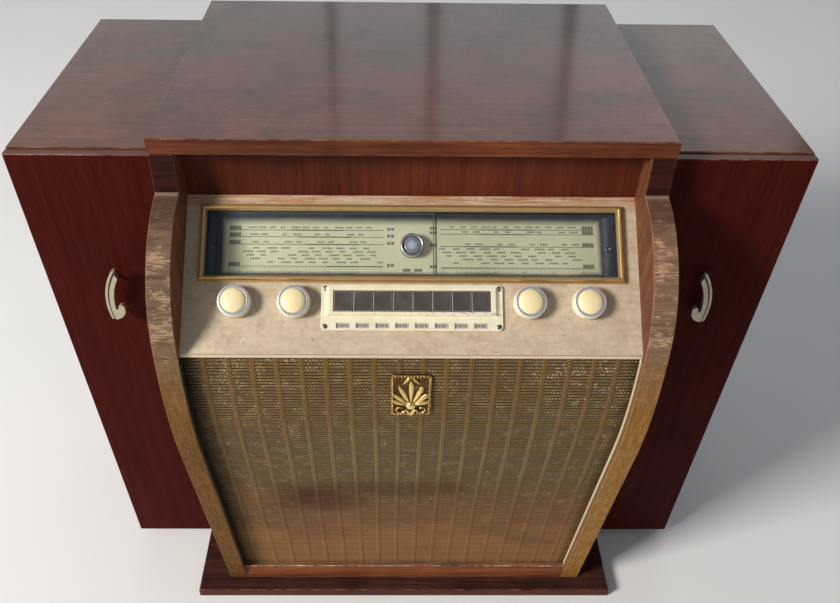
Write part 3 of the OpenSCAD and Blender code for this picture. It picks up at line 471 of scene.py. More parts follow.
def facing_finish():
    """Veneer across the front of a cheek: dark over the crease, rubbed bare under it, golden below.

    The left cheek's facing is painted darker, as painted shade, and the right one painted lighter, as
    painted light, most of all low down.
    """
    golden_z = 0.6, 0.5
    rubbed_z = 0.53, 0.59
    # Heights over which the painted shade and light of the two cheeks grow
    lower_z = 0.56, 0.42
    made = Finish("worn_cheek_facing", Specular_IOR_Level=0.03)
    height = made.at("Z")
    drift = made.streaks((26, 40, 40), 4, 0.6)
    level = made.plus(height, made.span(drift, 0.3, 0.7, -12 * MM, 12 * MM))
    fibres = made.streaks((9, 230, 230), 6, 0.62, 0.5)
    tone = made.ramp(fibres, (0.3, (0.1, 0.062, 0.038)), (0.52, (0.155, 0.102, 0.064)),
                     (0.75, (0.215, 0.148, 0.096)))
    grain = made.streaks((380, 380, 22), 5, 0.62, 0.3)
    golden = made.ramp(grain, (0.3, (0.125, 0.06, 0.016)), (0.5, (0.185, 0.1, 0.031)),
                       (0.72, (0.25, 0.147, 0.052)))
    tone = made.mix(made.span(level, *golden_z), tone, golden)
    brown = made.span(level, crease_z - 24 * MM, crease_z - 8 * MM, 0, 0.75)
    tone = made.mix(brown, tone, (0.07, 0.036, 0.026))
    zone = made.times(made.span(level, *rubbed_z), made.span(level, crease_z - 12 * MM, crease_z - 30 * MM))
    streaks = made.streaks((95, 780, 780), 5, 0.66, 0.1)
    patches = made.streaks((40, 60, 60), 5, 0.62)
    thin = made.times(zone, made.span(patches, 0.35, 0.65, -0.08, 0.2))
    bare = made.span(made.plus(streaks, thin), 0.6, 0.7)
    tone = made.mix(made.times(bare, 0.75), tone, (0.43, 0.285, 0.17))
    above = made.span(height, crease_z, crease_z + 0.5 * MM)
    dark = made.ramp(fibres, (0.3, (0.016, 0.006, 0.005)), (0.7, (0.04, 0.013, 0.01)))
    tone = made.mix(above, tone, dark)
    # A pale line along the crease: a painted highlight
    line = made.band(height, crease_z, 0.5 * MM, 0.8 * MM)
    line = made.times(line, made.span(drift, 0.3, 0.6, 0.3, 0.8))
    tone = made.mix(line, tone, (0.25, 0.18, 0.13))
    # The paler tone on the rounded edges is partly edge wear and partly a painted highlight
    edge = made.times(made.attribute("wear"), made.span(patches, 0.35, 0.6, 0.05, 0.6))
    edge = made.times(edge, made.span(above, 0, 1, 1, 0.35))
    tone = made.mix(edge, tone, (0.24, 0.13, 0.07))
    # Painted shade on the left cheek and painted light on the right one, strongest low down
    lower = made.span(height, *lower_z)
    left = made.mix(lower, (0.98, 0.96, 0.96), (0.76, 0.64, 0.55))
    right = made.mix(lower, (1.25, 1.12, 1.12), (1.5, 1.36, 1.15))
    side = made.mix(made.span(made.at("X"), -0.1, 0.1), left, right)
    made.colour(made.mix(1, tone, side, "MULTIPLY"))
    made.rough(bare, 0.42, 0.62, 0, 1)
    made.bump(made.less(fibres, bare), 0.2 * MM, 0.4)
    return made.material


def panel_finish():
    """Bleached, mottled veneer of the control panel, stained orange along the fascia, pale on its nose."""
    made = Finish("bleached_panel", Coat_Weight=0.1, Coat_Roughness=0.3, Specular_IOR_Level=0.35)
    spot = made.on_panel()
    mottle = made.noise(spot, 34, 8, 0.7, 0.35)
    clouds = made.noise(spot, 8, 4, 0.6, 0.3)
    grain = made.noise(made.stretched(spot, (14, 220, 60)), 1, 4, 0.6, 0.4)
    fine = made.noise(spot, 150, 6, 0.7, 0.2)
    tone = made.ramp(mottle, (0.3, (0.43, 0.315, 0.205)), (0.46, (0.54, 0.425, 0.295)),
                     (0.6, (0.6, 0.49, 0.35)), (0.78, (0.67, 0.56, 0.42)))
    tone = made.mix(made.span(clouds, 0.42, 0.7, 0, 0.55), tone, (0.5, 0.41, 0.315))
    tone = made.mix(made.span(grain, 0.5, 0.75, 0, 0.35), tone, (0.4, 0.28, 0.18))
    tone = made.mix(1, tone, made.ramp(fine, (0.3, (0.86, 0.85, 0.84)), (0.7, (1.1,) * 3)), "MULTIPLY")
    slope = made.axis(spot, "Y")
    top = panel_box("control_panel")[1].y
    edge = made.span(slope, top - 17 * MM, top - 6 * MM)
    streaky = made.noise(made.stretched(spot, (17, 260, 60)), 1, 5, 0.62, 0.8)
    stained = made.times(edge, made.span(streaky, 0.38, 0.6, 0.1, 0.95))
    tone = made.mix(stained, tone, (0.37, 0.15, 0.045))
    flecks = made.span(made.noise(made.where((170, 170, 170), turn=(0.4, 0.3, 0.9)), 1, 5, 0.7), 0.64, 0.7)
    tone = made.mix(made.times(flecks, 0.7), tone, (0.13, 0.075, 0.04))
    height = made.at("Z")
    seam = made.band(height, nose_z - 1.1 * MM, 0.35 * MM, 0.5 * MM)
    tone = made.mix(made.times(seam, made.span(mottle, 0.3, 0.6, 0.3, 0.9)), tone, (0.2, 0.11, 0.055))
    lip = made.span(height, nose_z - 1.2 * MM, nose_z - 2 * MM)
    tone = made.mix(made.times(lip, 0.6), tone, (0.72, 0.58, 0.38))
    made.colour(tone)
    made.rough(mottle, 0.42, 0.62)
    made.bump(mottle, 0.05 * MM, 0.25)
    return made.material


# Finishes of metal, plastic, glass and cloth

def metal(name, tone, gloss, dull, tarnish, scale=60, metallic=1.0, scored=0.3):
    """Metal with fine scratches and dull patches."""
    made = Finish(name, Metallic=metallic)
    patches = made.noise(made.where(), scale, 5, 0.62)
    scratches = made.streaks((900, 140, 700), 3, 0.6)
    made.colour(made.mix(made.span(patches, 0.5, 0.72, 0, tarnish), tone, dull))
    made.rough(made.plus(patches, scratches), gloss, gloss + 0.2, 0.7, 1.4)
    made.bump(scratches, 0.04 * MM, scored)
    return made.material


def moulded(name, tone, dirt, gloss, grime=0.35, scale=45, coat=0.3, rubbed=None):
    """Moulded plastic, yellowed in patches, with grime and fine dust, and, where rubbed is given, a paler
    tone along its edges that is a painted highlight.
    """
    made = Finish(name, Coat_Weight=coat, Coat_Roughness=0.12)
    patches = made.noise(made.where(), scale, 5, 0.6)
    dust = made.noise(made.where(), scale * 22, 2, 0.5)
    tint = made.mix(made.span(patches, 0.42, 0.72, 0, grime), tone, dirt)
    tint = made.mix(made.span(dust, 0.62, 0.72, 0, 0.4), tint, dirt)
    # rubbed is a paler tone on the rounded edges: a painted highlight
    if rubbed:
        tint = made.mix(made.times(made.attribute("wear"), 0.7), tint, rubbed)
    made.colour(tint)
    made.rough(patches, gloss, gloss + 0.14)
    made.bump(dust, 0.03 * MM, 0.25)
    return made.material


chrome = metal("knob_chrome", (0.9, 0.91, 0.94), 0.24, (0.55, 0.55, 0.57), 0.3, metallic=0.7, scored=0.06)
ring_groove = metal("ring_groove", (0.24, 0.25, 0.29), 0.4, (0.12, 0.12, 0.13), 0.4, metallic=0.5,
                    scored=0.06)
eye_chrome = metal("eye_chrome", (0.46, 0.45, 0.44), 0.26, (0.2, 0.17, 0.14), 0.5, scored=0.06)
steel = metal("plated_steel", (0.6, 0.6, 0.6), 0.28, (0.3, 0.27, 0.22), 0.5)
dark_steel = metal("dark_steel", (0.16, 0.16, 0.165), 0.34, (0.08, 0.06, 0.045), 0.5)
brass = metal("hinge_brass", (0.62, 0.44, 0.17), 0.24, (0.24, 0.15, 0.06), 0.5)
bezel_gold = metal("bezel_gold", (0.6, 0.4, 0.165), 0.3, (0.3, 0.18, 0.065), 0.45, 40, 0.75)
handle_metal = metal("handle_plate", (0.47, 0.41, 0.31), 0.34, (0.3, 0.24, 0.17), 0.5, 90, 0.5, 0.12)
handle_groove = metal("handle_groove", (0.07, 0.05, 0.035), 0.5, (0.03, 0.02, 0.015), 0.5, 120, 0.2, 0.12)
ivory = moulded("ivory_cap", (0.88, 0.74, 0.43), (0.7, 0.51, 0.25), 0.36, coat=0.08)
ivory_skirt = moulded("ivory_skirt", (0.86, 0.79, 0.6), (0.6, 0.48, 0.29), 0.34, coat=0.1)
arm_ivory = moulded("arm_ivory", (0.74, 0.66, 0.48), (0.5, 0.38, 0.22), 0.3)
# The keys' paler edges, given as rubbed, are a painted highlight
key_black = moulded("key_brown_black", (0.062, 0.052, 0.045), (0.13, 0.115, 0.1), 0.3, 0.5, 70,
                    rubbed=(0.3, 0.28, 0.24))
rubber = moulded("mat_rubber", (0.03, 0.03, 0.031), (0.075, 0.07, 0.065), 0.62, 0.6, 60, 0)
valve_glass = moulded("silvered_valve", (0.42, 0.42, 0.43), (0.2, 0.19, 0.18), 0.12)
cone_paper = moulded("cone_paper", (0.055, 0.05, 0.046), (0.1, 0.09, 0.075), 0.85, 0.6, 80, 0)
platter_metal = metal("platter_alloy", (0.55, 0.55, 0.56), 0.3, (0.34, 0.33, 0.31), 0.4)
print_ink = moulded("dial_ink", (0.155, 0.16, 0.115), (0.27, 0.265, 0.18), 0.6, 0.6, 160, 0)
pointer_paint = moulded("pointer_paint", (0.07, 0.075, 0.085), (0.05, 0.055, 0.065), 0.55, 0.4, 120, 0)
label_ink = moulded("label_ink", (0.15, 0.15, 0.14), (0.26, 0.25, 0.22), 0.6, 0.5, 200, 0)
label_card = moulded("label_card", (0.46, 0.44, 0.37), (0.34, 0.32, 0.27), 0.55, 0.5, 200, 0)


def hardboard_finish():
    """Pressed brown board with fibres every way."""
    made = Finish("back_hardboard")
    fibres = made.noise(made.where(), 260, 6, 0.7, 0.6)
    made.colour(made.ramp(fibres, (0.3, (0.1, 0.055, 0.028)), (0.7, (0.24, 0.145, 0.08))))
    made.rough(fibres, 0.7, 0.9)
    made.bump(fibres, 0.2 * MM, 0.5)
    return made.material


def escutcheon_finish():
    """Ivory plate, chipped to grey along the ledge under the keys and grimy round its edge."""
    made = Finish("escutcheon_ivory", Coat_Weight=0.25, Coat_Roughness=0.15)
    spot = made.on_panel()
    patches = made.noise(spot, 50, 5, 0.6)
    tone = made.mix(made.span(patches, 0.42, 0.7, 0, 0.5), (0.82, 0.76, 0.56), (0.66, 0.57, 0.36))
    chips = made.streaks((260, 700, 700), 4, 0.62)
    ledge = made.band(made.axis(spot, "Y"), KEY_S - well_h / 2 - 1.8 * MM, 1.2 * MM, 1.6 * MM)
    right = made.span(made.axis(spot, "X"), -0.02, 0.09, 0.08, 0.22)
    chipped = made.span(made.plus(chips, made.times(ledge, right)), 0.7, 0.74)
    tone = made.mix(made.times(chipped, 0.8), tone, (0.34, 0.37, 0.42))
    grime = made.times(made.attribute("wear"), made.span(patches, 0.45, 0.65, 0, 0.5))
    made.colour(made.mix(grime, tone, (0.5, 0.42, 0.26)))
    made.rough(patches, 0.26, 0.42)
    made.bump(chips, 0.04 * MM, 0.3)
    return made.material


def dial_finish():
    """Cream paint of the scale, darkening into the dark border, partly a soft edge of the border paint and
    partly painted shade of the walls round the sunk plate, a little uneven and dusty.
    """
    made = Finish("dial_cream", Roughness=0.6, Specular_IOR_Level=0.3)
    spot = made.on_panel()
    clouds = made.noise(spot, 14, 5, 0.6)
    tone = made.ramp(clouds, (0.3, (0.58, 0.56, 0.38)), (0.7, (0.69, 0.67, 0.47)))
    drift = made.span(clouds, 0.3, 0.7, -1 * MM, 1 * MM)
    across = made.plus(made.size(made.axis(spot, "X")), drift)
    along = made.plus(made.less(made.axis(spot, "Y"), SCALE_S), drift)
    sides = made.span(across, SCALE_W / 2 - 6 * MM, SCALE_W / 2 - 1 * MM)
    above = made.span(along, SCALE_H / 2 - 9 * MM, SCALE_H / 2 - 1 * MM)
    below = made.span(along, 5 * MM - SCALE_H / 2, 1 * MM - SCALE_H / 2)
    # The darkening near the edges of the scale is partly painted shade of the walls round the sunk plate
    shaded = made.most(sides, made.most(above, below))
    tone = made.mix(made.times(shaded, 0.92), tone, (0.02, 0.022, 0.028))
    specks = made.span(made.noise(spot, 420, 2, 0.5), 0.68, 0.74, 0, 0.5)
    made.colour(made.mix(specks, tone, (0.3, 0.27, 0.17)))
    made.bump(clouds, 0.05 * MM, 0.2)
    return made.material


def mask_finish():
    """Blue-black border paint behind the glass, scuffed grey, and bluer towards the left."""
    made = Finish("dial_border", Specular_IOR_Level=0.25)
    spot = made.on_panel()
    scuffs = made.noise(spot, 90, 6, 0.7, 0.5)
    tone = made.ramp(scuffs, (0.4, (0.016, 0.02, 0.029)), (0.62, (0.034, 0.039, 0.05)),
                     (0.8, (0.1, 0.1, 0.1)))
    left = made.span(made.axis(spot, "X"), -0.05, -0.2, 0, 0.75)
    made.colour(made.mix(left, tone, (0.045, 0.066, 0.11)))
    made.rough(scuffs, 0.3, 0.5)
    return made.material


def glass_finish():
    """Clear flat glass with a little dust, which lets the light through to the scale."""
    made = Finish("dial_window", Roughness=0.05, IOR=1.5)
    dust = made.noise(made.on_panel(), 70, 6, 0.7)
    made.colour(made.ramp(dust, (0.4, (0.6, 0.65, 0.7)), (0.8, (0.8, 0.8, 0.78))))
    clear = made.node("BsdfTransparent", {"Color": (1, 1, 1)})
    sheen = made.node("Fresnel", {"IOR": 1.25}).outputs["Fac"]
    film = made.plus(sheen, made.span(dust, 0.5, 0.8, 0, 0.025))
    mixed = made.node("MixShader", {0: film, 1: clear.outputs[0], 2: made.surface.outputs[0]})
    made.feed(made.tree.nodes["Material Output"].inputs["Surface"], mixed.outputs[0])
    return made.material


def lens_finish():
    """Steel-blue glass of the tuning eye, paler in the middle."""
    made = Finish("eye_lens", Roughness=0.12, Coat_Weight=0.4, Coat_Roughness=0.05)
    spot = made.on_panel()
    across = made.axis(spot, "X")
    along = made.less(made.axis(spot, "Y"), EYE_S)
    radius = made.calc("SQRT", made.plus(made.times(across, across), made.times(along, along)))
    share = made.calc("DIVIDE", radius, EYE_R)
    smoke = made.noise(spot, 300, 4, 0.6)
    tone = made.ramp(share, (0.12, (0.36, 0.43, 0.53)), (0.34, (0.28, 0.33, 0.42)),
                     (0.48, (0.17, 0.18, 0.22)), (0.8, (0.27, 0.27, 0.29)))
    made.colour(made.mix(made.span(smoke, 0.4, 0.7, 0, 0.35), tone, (0.06, 0.07, 0.09)))
    return made.material


def gilt_finish():
    """Gilded casting, dark in its hollows and rubbed bright on its high places."""
    made = Finish("ornament_gilt", Metallic=0.9)
    patches = made.noise(made.where(), 240, 5, 0.65)
    high = made.attribute("relief")
    level = made.plus(high, made.span(patches, 0.3, 0.7, -0.2, 0.2))
    made.colour(made.ramp(level, (0.26, (0.1, 0.05, 0.018)), (0.46, (0.42, 0.25, 0.075)),
                          (0.85, (0.88, 0.66, 0.28))))
    made.rough(level, 0.5, 0.22, 0, 1)
    made.bump(patches, 0.12 * MM, 0.4)
    return made.material


def aged(made, tone, greened, green_tone):
    """Ages the cloth downwards: green in the middle, red-brown below, with a dark stain and its smear, and
    paints the shadow of the left cheek along its left edge.
    """
    green_z = 0.37
    red_z = 0.32, 0.2
    pale_z = 0.2, 0.12
    stain_x, stain_z = -0.118, 0.272
    smear_x, smear_z = -0.03, 0.297
    height, across = made.at("Z"), made.at("X")
    drift = made.streaks((9, 9, 16), 4, 0.6)
    level = made.plus(height, made.span(drift, 0.3, 0.7, -0.06, 0.06))
    green = made.times(made.band(level, green_z, 0.03, 0.08), made.band(across, 0.03, 0.09, 0.16))
    tone = made.mix(made.times(green, greened), tone, green_tone)
    tone = made.mix(made.times(made.span(level, *red_z), 0.6), tone, (0.25, 0.1, 0.036))
    tone = made.mix(made.span(level, *pale_z, 0, 0.6), tone, (0.33, 0.165, 0.055))
    # Painted shadow of the left cheek along the cloth's left edge
    shaded = made.span(across, cloth_lo.x + 40 * MM, cloth_lo.x + 4 * MM, 0, 0.6)
    tone = made.mix(shaded, tone, (0.03, 0.018, 0.009))
    stain = made.times(made.band(across, stain_x, 0.02, 0.06), made.band(height, stain_z, 0.016, 0.034))
    smear = made.times(made.band(across, smear_x, 0.08, 0.05), made.band(height, smear_z, 0.008, 0.02))
    stain = made.most(stain, made.times(smear, 0.6))
    stain = made.times(stain, made.span(drift, 0.25, 0.6, 0.45, 0.85))
    return made.mix(stain, tone, (0.055, 0.015, 0.008))


def cloth_finish():
    """Open weave: thick level cords with fine gilt threads over and under them, with painted glints on the
    threads and painted shade in the gaps between the cords.
    """
    made = Finish("grille_weave", Sheen_Weight=0.03, Sheen_Roughness=0.4, Specular_IOR_Level=0.08)
    weave = made.node("UVMap", {}, uv_map="weave").outputs["UV"]
    threads = made.node("TexChecker", {"Vector": weave, "Scale": 1, "Color1": (1, 1, 1),
                                       "Color2": (0, 0, 0)}).outputs["Fac"]
    glints = made.streaks((60, 60, 75), 4, 0.66)
    wisps = made.streaks((260, 260, 900), 3, 0.6)
    cord = made.attribute("cord")
    tone = made.ramp(wisps, (0.3, (0.1, 0.06, 0.024)), (0.7, (0.175, 0.11, 0.045)))
    # The threads show in patches where they catch the light: painted glints
    lit = made.times(threads, made.span(glints, 0.5, 0.68, 0.1, 0.75))
    tone = made.mix(lit, tone, (0.33, 0.235, 0.115))
    near_top = made.span(made.at("Z"), cloth_hi.z - 130 * MM, cloth_hi.z - 20 * MM)
    corners = made.span(made.size(made.at("X")), 0.1, 0.17)
    # Bright specks, most of all near the top corners: painted glints
    bright = made.plus(made.span(glints, 0.5, 0.64, 0, 0.6), made.times(near_top, corners))
    specks = made.span(made.noise(made.where(), 560, 2, 0.5), 0.6, 0.68)
    painted_glints = made.times(specks, made.times(bright, made.span(glints, 0.42, 0.56)))
    tone = made.mix(painted_glints, tone, (0.66, 0.56, 0.38))
    tone = aged(made, tone, 0.28, (0.13, 0.13, 0.06))
    # The gaps between the cords are painted nearly black: painted shade of the open weave
    tone = made.mix(made.span(cord, 0.2, 0.7), (0.014, 0.009, 0.005), tone)
    made.colour(tone)
    made.rough(glints, 0.8, 0.55)
    made.bump(made.plus(threads, wisps), 0.25 * MM, 0.5)
    return made.material


def ribbon_finish():
    """Smooth ochre straw ribbons with fibres along them, and the cords showing through."""
    faded_z = 0.5, 0.18
    sunk_z = 0.36, 0.2
    made = Finish("grille_ribbon", Sheen_Weight=0.03, Sheen_Roughness=0.4, Specular_IOR_Level=0.1)
    fibres = made.streaks((900, 900, 18), 4, 0.6)
    patches = made.noise(made.where(), 14, 4, 0.6)
    ribs = made.streaks((40, 40, 700), 2, 0.5)
    tone = made.ramp(fibres, (0.3, (0.125, 0.064, 0.014)), (0.7, (0.21, 0.112, 0.028)))
    tone = made.mix(made.span(patches, 0.45, 0.7, 0, 0.5), tone, (0.145, 0.076, 0.026))
    tone = made.mix(made.span(ribs, 0.45, 0.65, 0, 0.5), tone, (0.085, 0.046, 0.016))
    faded = made.span(made.at("Z"), *faded_z, 0.1, 0.65)
    tone = aged(made, made.mix(faded, tone, (0.13, 0.08, 0.033)), 0.6, (0.15, 0.142, 0.068))
    sunk = made.span(made.at("Z"), *sunk_z, 1, 0.78)
    made.colour(made.mix(1, tone, made.ramp(sunk, (0, (0, 0, 0)), (1, (1, 1, 1))), "MULTIPLY"))
    made.rough(fibres, 0.5, 0.66)
    made.bump(fibres, 0.1 * MM, 0.4)
    return made.material


def trim_finish():
    """Gilt strip beside the cloth: bright on the right, with painted shade darkening it on the left, stained
    along its lip.
    """
    made = Finish("grille_trim_gold", Metallic=0.2)
    patches = made.noise(made.where(), 30, 5, 0.62)
    tone = made.mix(made.span(patches, 0.5, 0.72, 0, 0.3), (0.78, 0.66, 0.45), (0.5, 0.38, 0.22))
    tone = made.mix(made.attribute("lip"), tone, (0.19, 0.115, 0.045))
    # The left strip is painted dark: painted shade
    tone = made.mix(made.span(made.at("X"), 0.05, -0.05), tone, (0.035, 0.022, 0.013))
    made.colour(tone)
    made.rough(patches, 0.34, 0.52)
    made.bump(patches, 0.04 * MM, 0.3)
    return made.material


def floor_finish():
    """Pale matt studio floor."""
    made = Finish("studio_floor", Roughness=0.9)
    made.colour(made.ramp(made.noise(made.where(), 3, 2), (0.3, (0.8, 0.8, 0.8)), (0.7, (0.82, 0.82, 0.82))))
    return made.material


cheek_facing = facing_finish()
panel_veneer = panel_finish()
hardboard = hardboard_finish()
gilt = gilt_finish()
dial_cream = dial_finish()
dial_border = mask_finish()
dial_window = glass_finish()
eye_lens = lens_finish()
escutcheon_ivory = escutcheon_finish()
grille_weave = cloth_finish()
grille_ribbon = ribbon_finish()
trim_gold = trim_finish()


# Boards: merged copies of the solids with their long edges rounded, apart from those near a hinge

HINGE_ZONE = 16 * MM


def eased(node, radius, shortest=30 * MM, keep=None):
    """A copy of a board with eased edges. keep tells which edges stay sharp, beside a hinge."""
    bm = solid_of(node)
    edges = [e for e in sharp_edges(bm, shortest)
             if not (keep and keep((e.verts[0].co + e.verts[1].co) / 2))]
    soften(bm, edges, radius)
    bm.normal_update()
    return bm


def board(node, finish, body, radius, shortest=30 * MM, keep=None):
    piece(node + "_board", eased(node, radius, shortest, keep), [finish], body, [node])


def edged_board(node, face_finish, edge_finish, body, radius, keep=None):
    """A level board whose edges have a finish of their own."""
    bm = eased(node, radius, keep=keep)
    for face in bm.faces:
        face.material_index = 1 if abs(face.normal.z) < 0.7 else 0
    piece(node + "_board", bm, [face_finish, edge_finish], body, [node])


def lid():
    def hinged(middle):
        return middle.y > lid_hi.y - HINGE_ZONE and middle.z < lid_lo.z + 4 * MM

    edged_board("lid", lid_wood, lid_edge, "lid", 1.5 * MM, hinged)


def door(side):
    node = side + "_door"
    lo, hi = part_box(node)

    def hinged(middle):
        return middle.y > hi.y - 4 * MM and abs(middle.x) > max(abs(lo.x), abs(hi.x)) - HINGE_ZONE

    bm = eased(node, 1.2 * MM, keep=hinged)
    # Faces that look up take the lighter copy, painted light from above
    for face in bm.faces:
        face.material_index = 1 if face.normal.z > 0.7 else 0
    piece(node + "_board", bm, [door_wood, lit_door_top], node, [node])


def cheek(side):
    """A cheek, with its veneer facing as the faces of its front edge."""
    node = side + "_cheek"
    bm = solid_of(node)
    bm.normal_update()
    front = [e for e in bm.edges if len(e.link_faces) == 2 and e.calc_face_angle() > 1.2
             and abs(e.verts[0].co.x - e.verts[1].co.x) < NEAR]
    soften(bm, front, 1.2 * MM)
    bm.normal_update()
    for face in bm.faces:
        nose = face.normal.z > 0.2 and face.calc_center_median().y < lid_lo.y
        towards_front = face.normal.y < -0.25 or nose
        face.material_index = 1 if towards_front and abs(face.normal.x) < 0.9 else 0
    piece(node + "_board", bm, [cheek_wood, cheek_facing], "cabinet", [node], crease=25)


def boards():
    lid()
    for side in ("left", "right"):
        door(side)
        cheek(side)
        board(side + "_wing_case", case_wood, "cabinet", 0.8 * MM, 100 * MM,
              lambda middle: middle.y < wings_lo.y + HINGE_ZONE)
    edged_board("wing_tops", wing_wood, lid_edge, "cabinet", 1.5 * MM)
    edged_board("plinth", plinth_wood, plinth_edge, "cabinet", 2 * MM)
    board("fascia_board", fascia_wood, "cabinet", 0.5 * MM)
    edged_board("grille_rail", rail_ledge, rail_wood, "cabinet", 1 * MM)


# Control panel

def knob(node):
    """Ivory skirt, two chrome rings with a dark groove inside each, and a domed ivory cap."""
    lo, hi = panel_box(node)
    top = hi.z / MM
    rim = (hi.x - lo.x) / 2 / MM
    ring = 11.4
    foot = 0.6

    def at(inwards, rise):
        return rim - inwards, ring + rise

    skirt = [(0, foot), (rim - 0.8, foot), (rim, 1.4), at(0.4, -0.8), at(0.5, -0.4), at(0.9, 0)]
    outer_ring = [at(0.9, 0), at(0.9, 0.7), at(1.1, 1.1), at(1.4, 1.4), at(2.1, 1.5), at(2.4, 1.2)]
    outer_groove = [at(2.4, 1.2), at(2.5, 0.7), at(2.9, 0.7), at(3, 1.2)]
    inner_ring = [at(3, 1.2), at(3.2, 1.5), at(3.9, 1.5), at(4.1, 1.3)]
    inner_groove = [at(4.1, 1.3), at(4.2, 0.8), at(4.4, 0.8)]
    cap = [at(4.4, 0.8)] + dome(rim - 4.4, ring + 1.4, top, 10) + [(0, top)]
    bm = bmesh.new()
    for finish, profile in ((1, skirt), (2, outer_ring), (3, outer_groove), (2, inner_ring),
                            (3, inner_groove), (0, cap)):
        turned(bm, profile, finish=finish)
    on_slope(bm, (lo.x + hi.x) / 2, (lo.y + hi.y) / 2)
    finishes = [ivory, ivory_skirt, chrome, ring_groove]
    piece(node + "_cap", bm, finishes, node, [node], crease=50)


def wave_key(index):
    """A key with eased edges and a slightly hollow face."""
    node = f"wave_key_{index}"
    lo, hi = panel_box(node)
    depth = 16 * MM
    bm = bmesh.new()
    block(bm, (lo.x, lo.y, -depth), hi)
    soften(bm, [e for e in bm.edges if max(v.co.z for v in e.verts) > 0], 0.9 * MM)
    top = max(bm.faces, key=lambda f: f.calc_center_median().z)
    build_up(bm, top, [(1.6, -0.12), (2.4, -0.2), (2.4, -0.08)])
    on_slope(bm)
    piece(node + "_cap", bm, [key_black], node, [node])


def escutcheon():
    """A flat plate with a window for the label of each key."""
    lo, hi = panel_box("key_escutcheon")
    window_w, window_h = 15 * MM, 6 * MM
    window_s = lo.y + 2.5 * MM
    columns = [lo.x, -well_w / 2]
    for index in range(KEY_COUNT):
        middle = (index - (KEY_COUNT - 1) / 2) * KEY_PITCH
        columns += [middle - window_w / 2, middle + window_w / 2]
    columns += [well_w / 2, hi.x]
    rows = [lo.y, window_s, window_s + window_h, KEY_S - well_h / 2, KEY_S + well_h / 2, hi.y]
    top, floor, corner = 2.5 * MM, 1 * MM, 5 * MM
    bm = bmesh.new()
    wide, high = len(columns) - 1, len(rows) - 1
    verts = bmesh.ops.create_grid(bm, x_segments=wide, y_segments=high, size=0.5)["verts"]
    for vert in verts:
        across = round((vert.co.x + 0.5) * wide)
        along = round((vert.co.y + 0.5) * high)
        vert.co = (columns[across], rows[along], top)
    middles = {face: face.calc_center_median() for face in bm.faces}
    well = [f for f, m in middles.items() if abs(m.x) < well_w / 2 and rows[3] < m.y < rows[4]]
    windows = [f for f, m in middles.items() if rows[1] < m.y < rows[2]
               and any(a < m.x < b for a, b in zip(columns[2:-2:2], columns[3:-2:2]))]
    bmesh.ops.delete(bm, geom=well, context="FACES")
    bmesh.ops.inset_individual(bm, faces=windows, thickness=0.15 * MM, depth=floor - top)
    ends = [e for e in bm.edges if len(e.link_faces) == 2
            and min(abs(v.co.x) for v in e.verts) > well_w / 2 - NEAR
            and abs(e.verts[0].co.x - e.verts[1].co.x) > NEAR]
    bmesh.ops.dissolve_edges(bm, edges=ends, use_verts=True)
    corners = [v for v in bm.verts if abs(v.co.x) > hi.x - NEAR
               and (v.co.y < lo.y + NEAR or v.co.y > hi.y - NEAR)]
    bmesh.ops.bevel(bm, geom=corners, offset=corner, affect="VERTICES", segments=6, profile=0.5,
                    material=-1)
    rim = [e for e in bm.edges if e.is_boundary]
    draw_out(bm, rim, (0, 0, -top))
    outer = [e for e in rim if max(abs(v.co.x) for v in e.verts) > well_w / 2 + 1 * MM
             or min(v.co.y for v in e.verts) > rows[4] + 1 * MM or max(v.co.y for v in e.verts) < rows[1]]
    soften(bm, outer, 0.6 * MM)
    on_slope(bm)
    made = piece("escutcheon_plate", bm, [escutcheon_ivory], "cabinet", ["key_escutcheon"])
    thicken(made, "plate_thickness", 0.8 * MM)


def escutcheon_ridge():
    """The raised frame round the keys, with sloping ends."""
    base, top, slope, lip, chamfer = 2.4, 6, 3.5, 0.5, 0.3
    width, height = well_w + 17.4 * MM, well_h + 8.6 * MM
    bm = bmesh.new()
    face = build_up(bm, plate(bm, width, height), [(0, 0.2), (lip, top - base - lip - 0.2)])
    for vert in face.verts:
        vert.co.x *= (width / 2 - slope * MM) / (width / 2 - lip * MM)
    face = build_up(bm, face, quarter_round(lip, lip, 3) + [(1, 0)])
    for vert in face.verts:
        vert.co.x = math.copysign(well_w / 2 + chamfer * MM, vert.co.x)
        vert.co.y = math.copysign(well_h / 2 + chamfer * MM, vert.co.y)
    face = build_up(bm, face, [(chamfer, -chamfer), (0, base - top)])
    bore(bm, face)
    on_slope(bm, s=KEY_S, n=base * MM)
    piece("escutcheon_ridge", bm, [escutcheon_ivory], "cabinet", ["key_escutcheon"])


def screw(bm, radius, rise):
    """A slotted round head in millimetres, in two halves with the slot between them."""
    half_slot = 0.35
    head = [(0, 0), (radius, 0), (radius, 0.3 * rise), (0.7 * radius, 0.85 * rise), (0, rise)]
    for turn in (0, math.pi):
        before = set(bm.verts)
        turned(bm, head, 16, turn=math.pi)
        half = added(bm, before)
        bmesh.ops.holes_fill(bm, edges=[e for e in bm.edges if e.is_boundary], sides=0)
        move(bm, half, Matrix.Rotation(turn, 4, "Z") @ Matrix.Translation((0, half_slot * MM, 0)))


def escutcheon_screws():
    """A screw at each corner of the escutcheon, each with its slot turned its own way."""
    lo, hi = panel_box("key_escutcheon")
    inset, seat_n = 4.4 * MM, 2.4 * MM
    bm = bmesh.new()
    for x in (lo.x + inset, hi.x - inset):
        for s in (lo.y + inset, hi.y - inset):
            slot_turn = 7e5 * x * s
            before = set(bm.verts)
            screw(bm, 2.6, 1)
            move(bm, added(bm, before), Matrix.Translation((x, s, seat_n))
                 @ Matrix.Rotation(slot_turn, 4, "Z"))
    on_slope(bm)
    piece("escutcheon_screws", bm, [dark_steel], "cabinet")


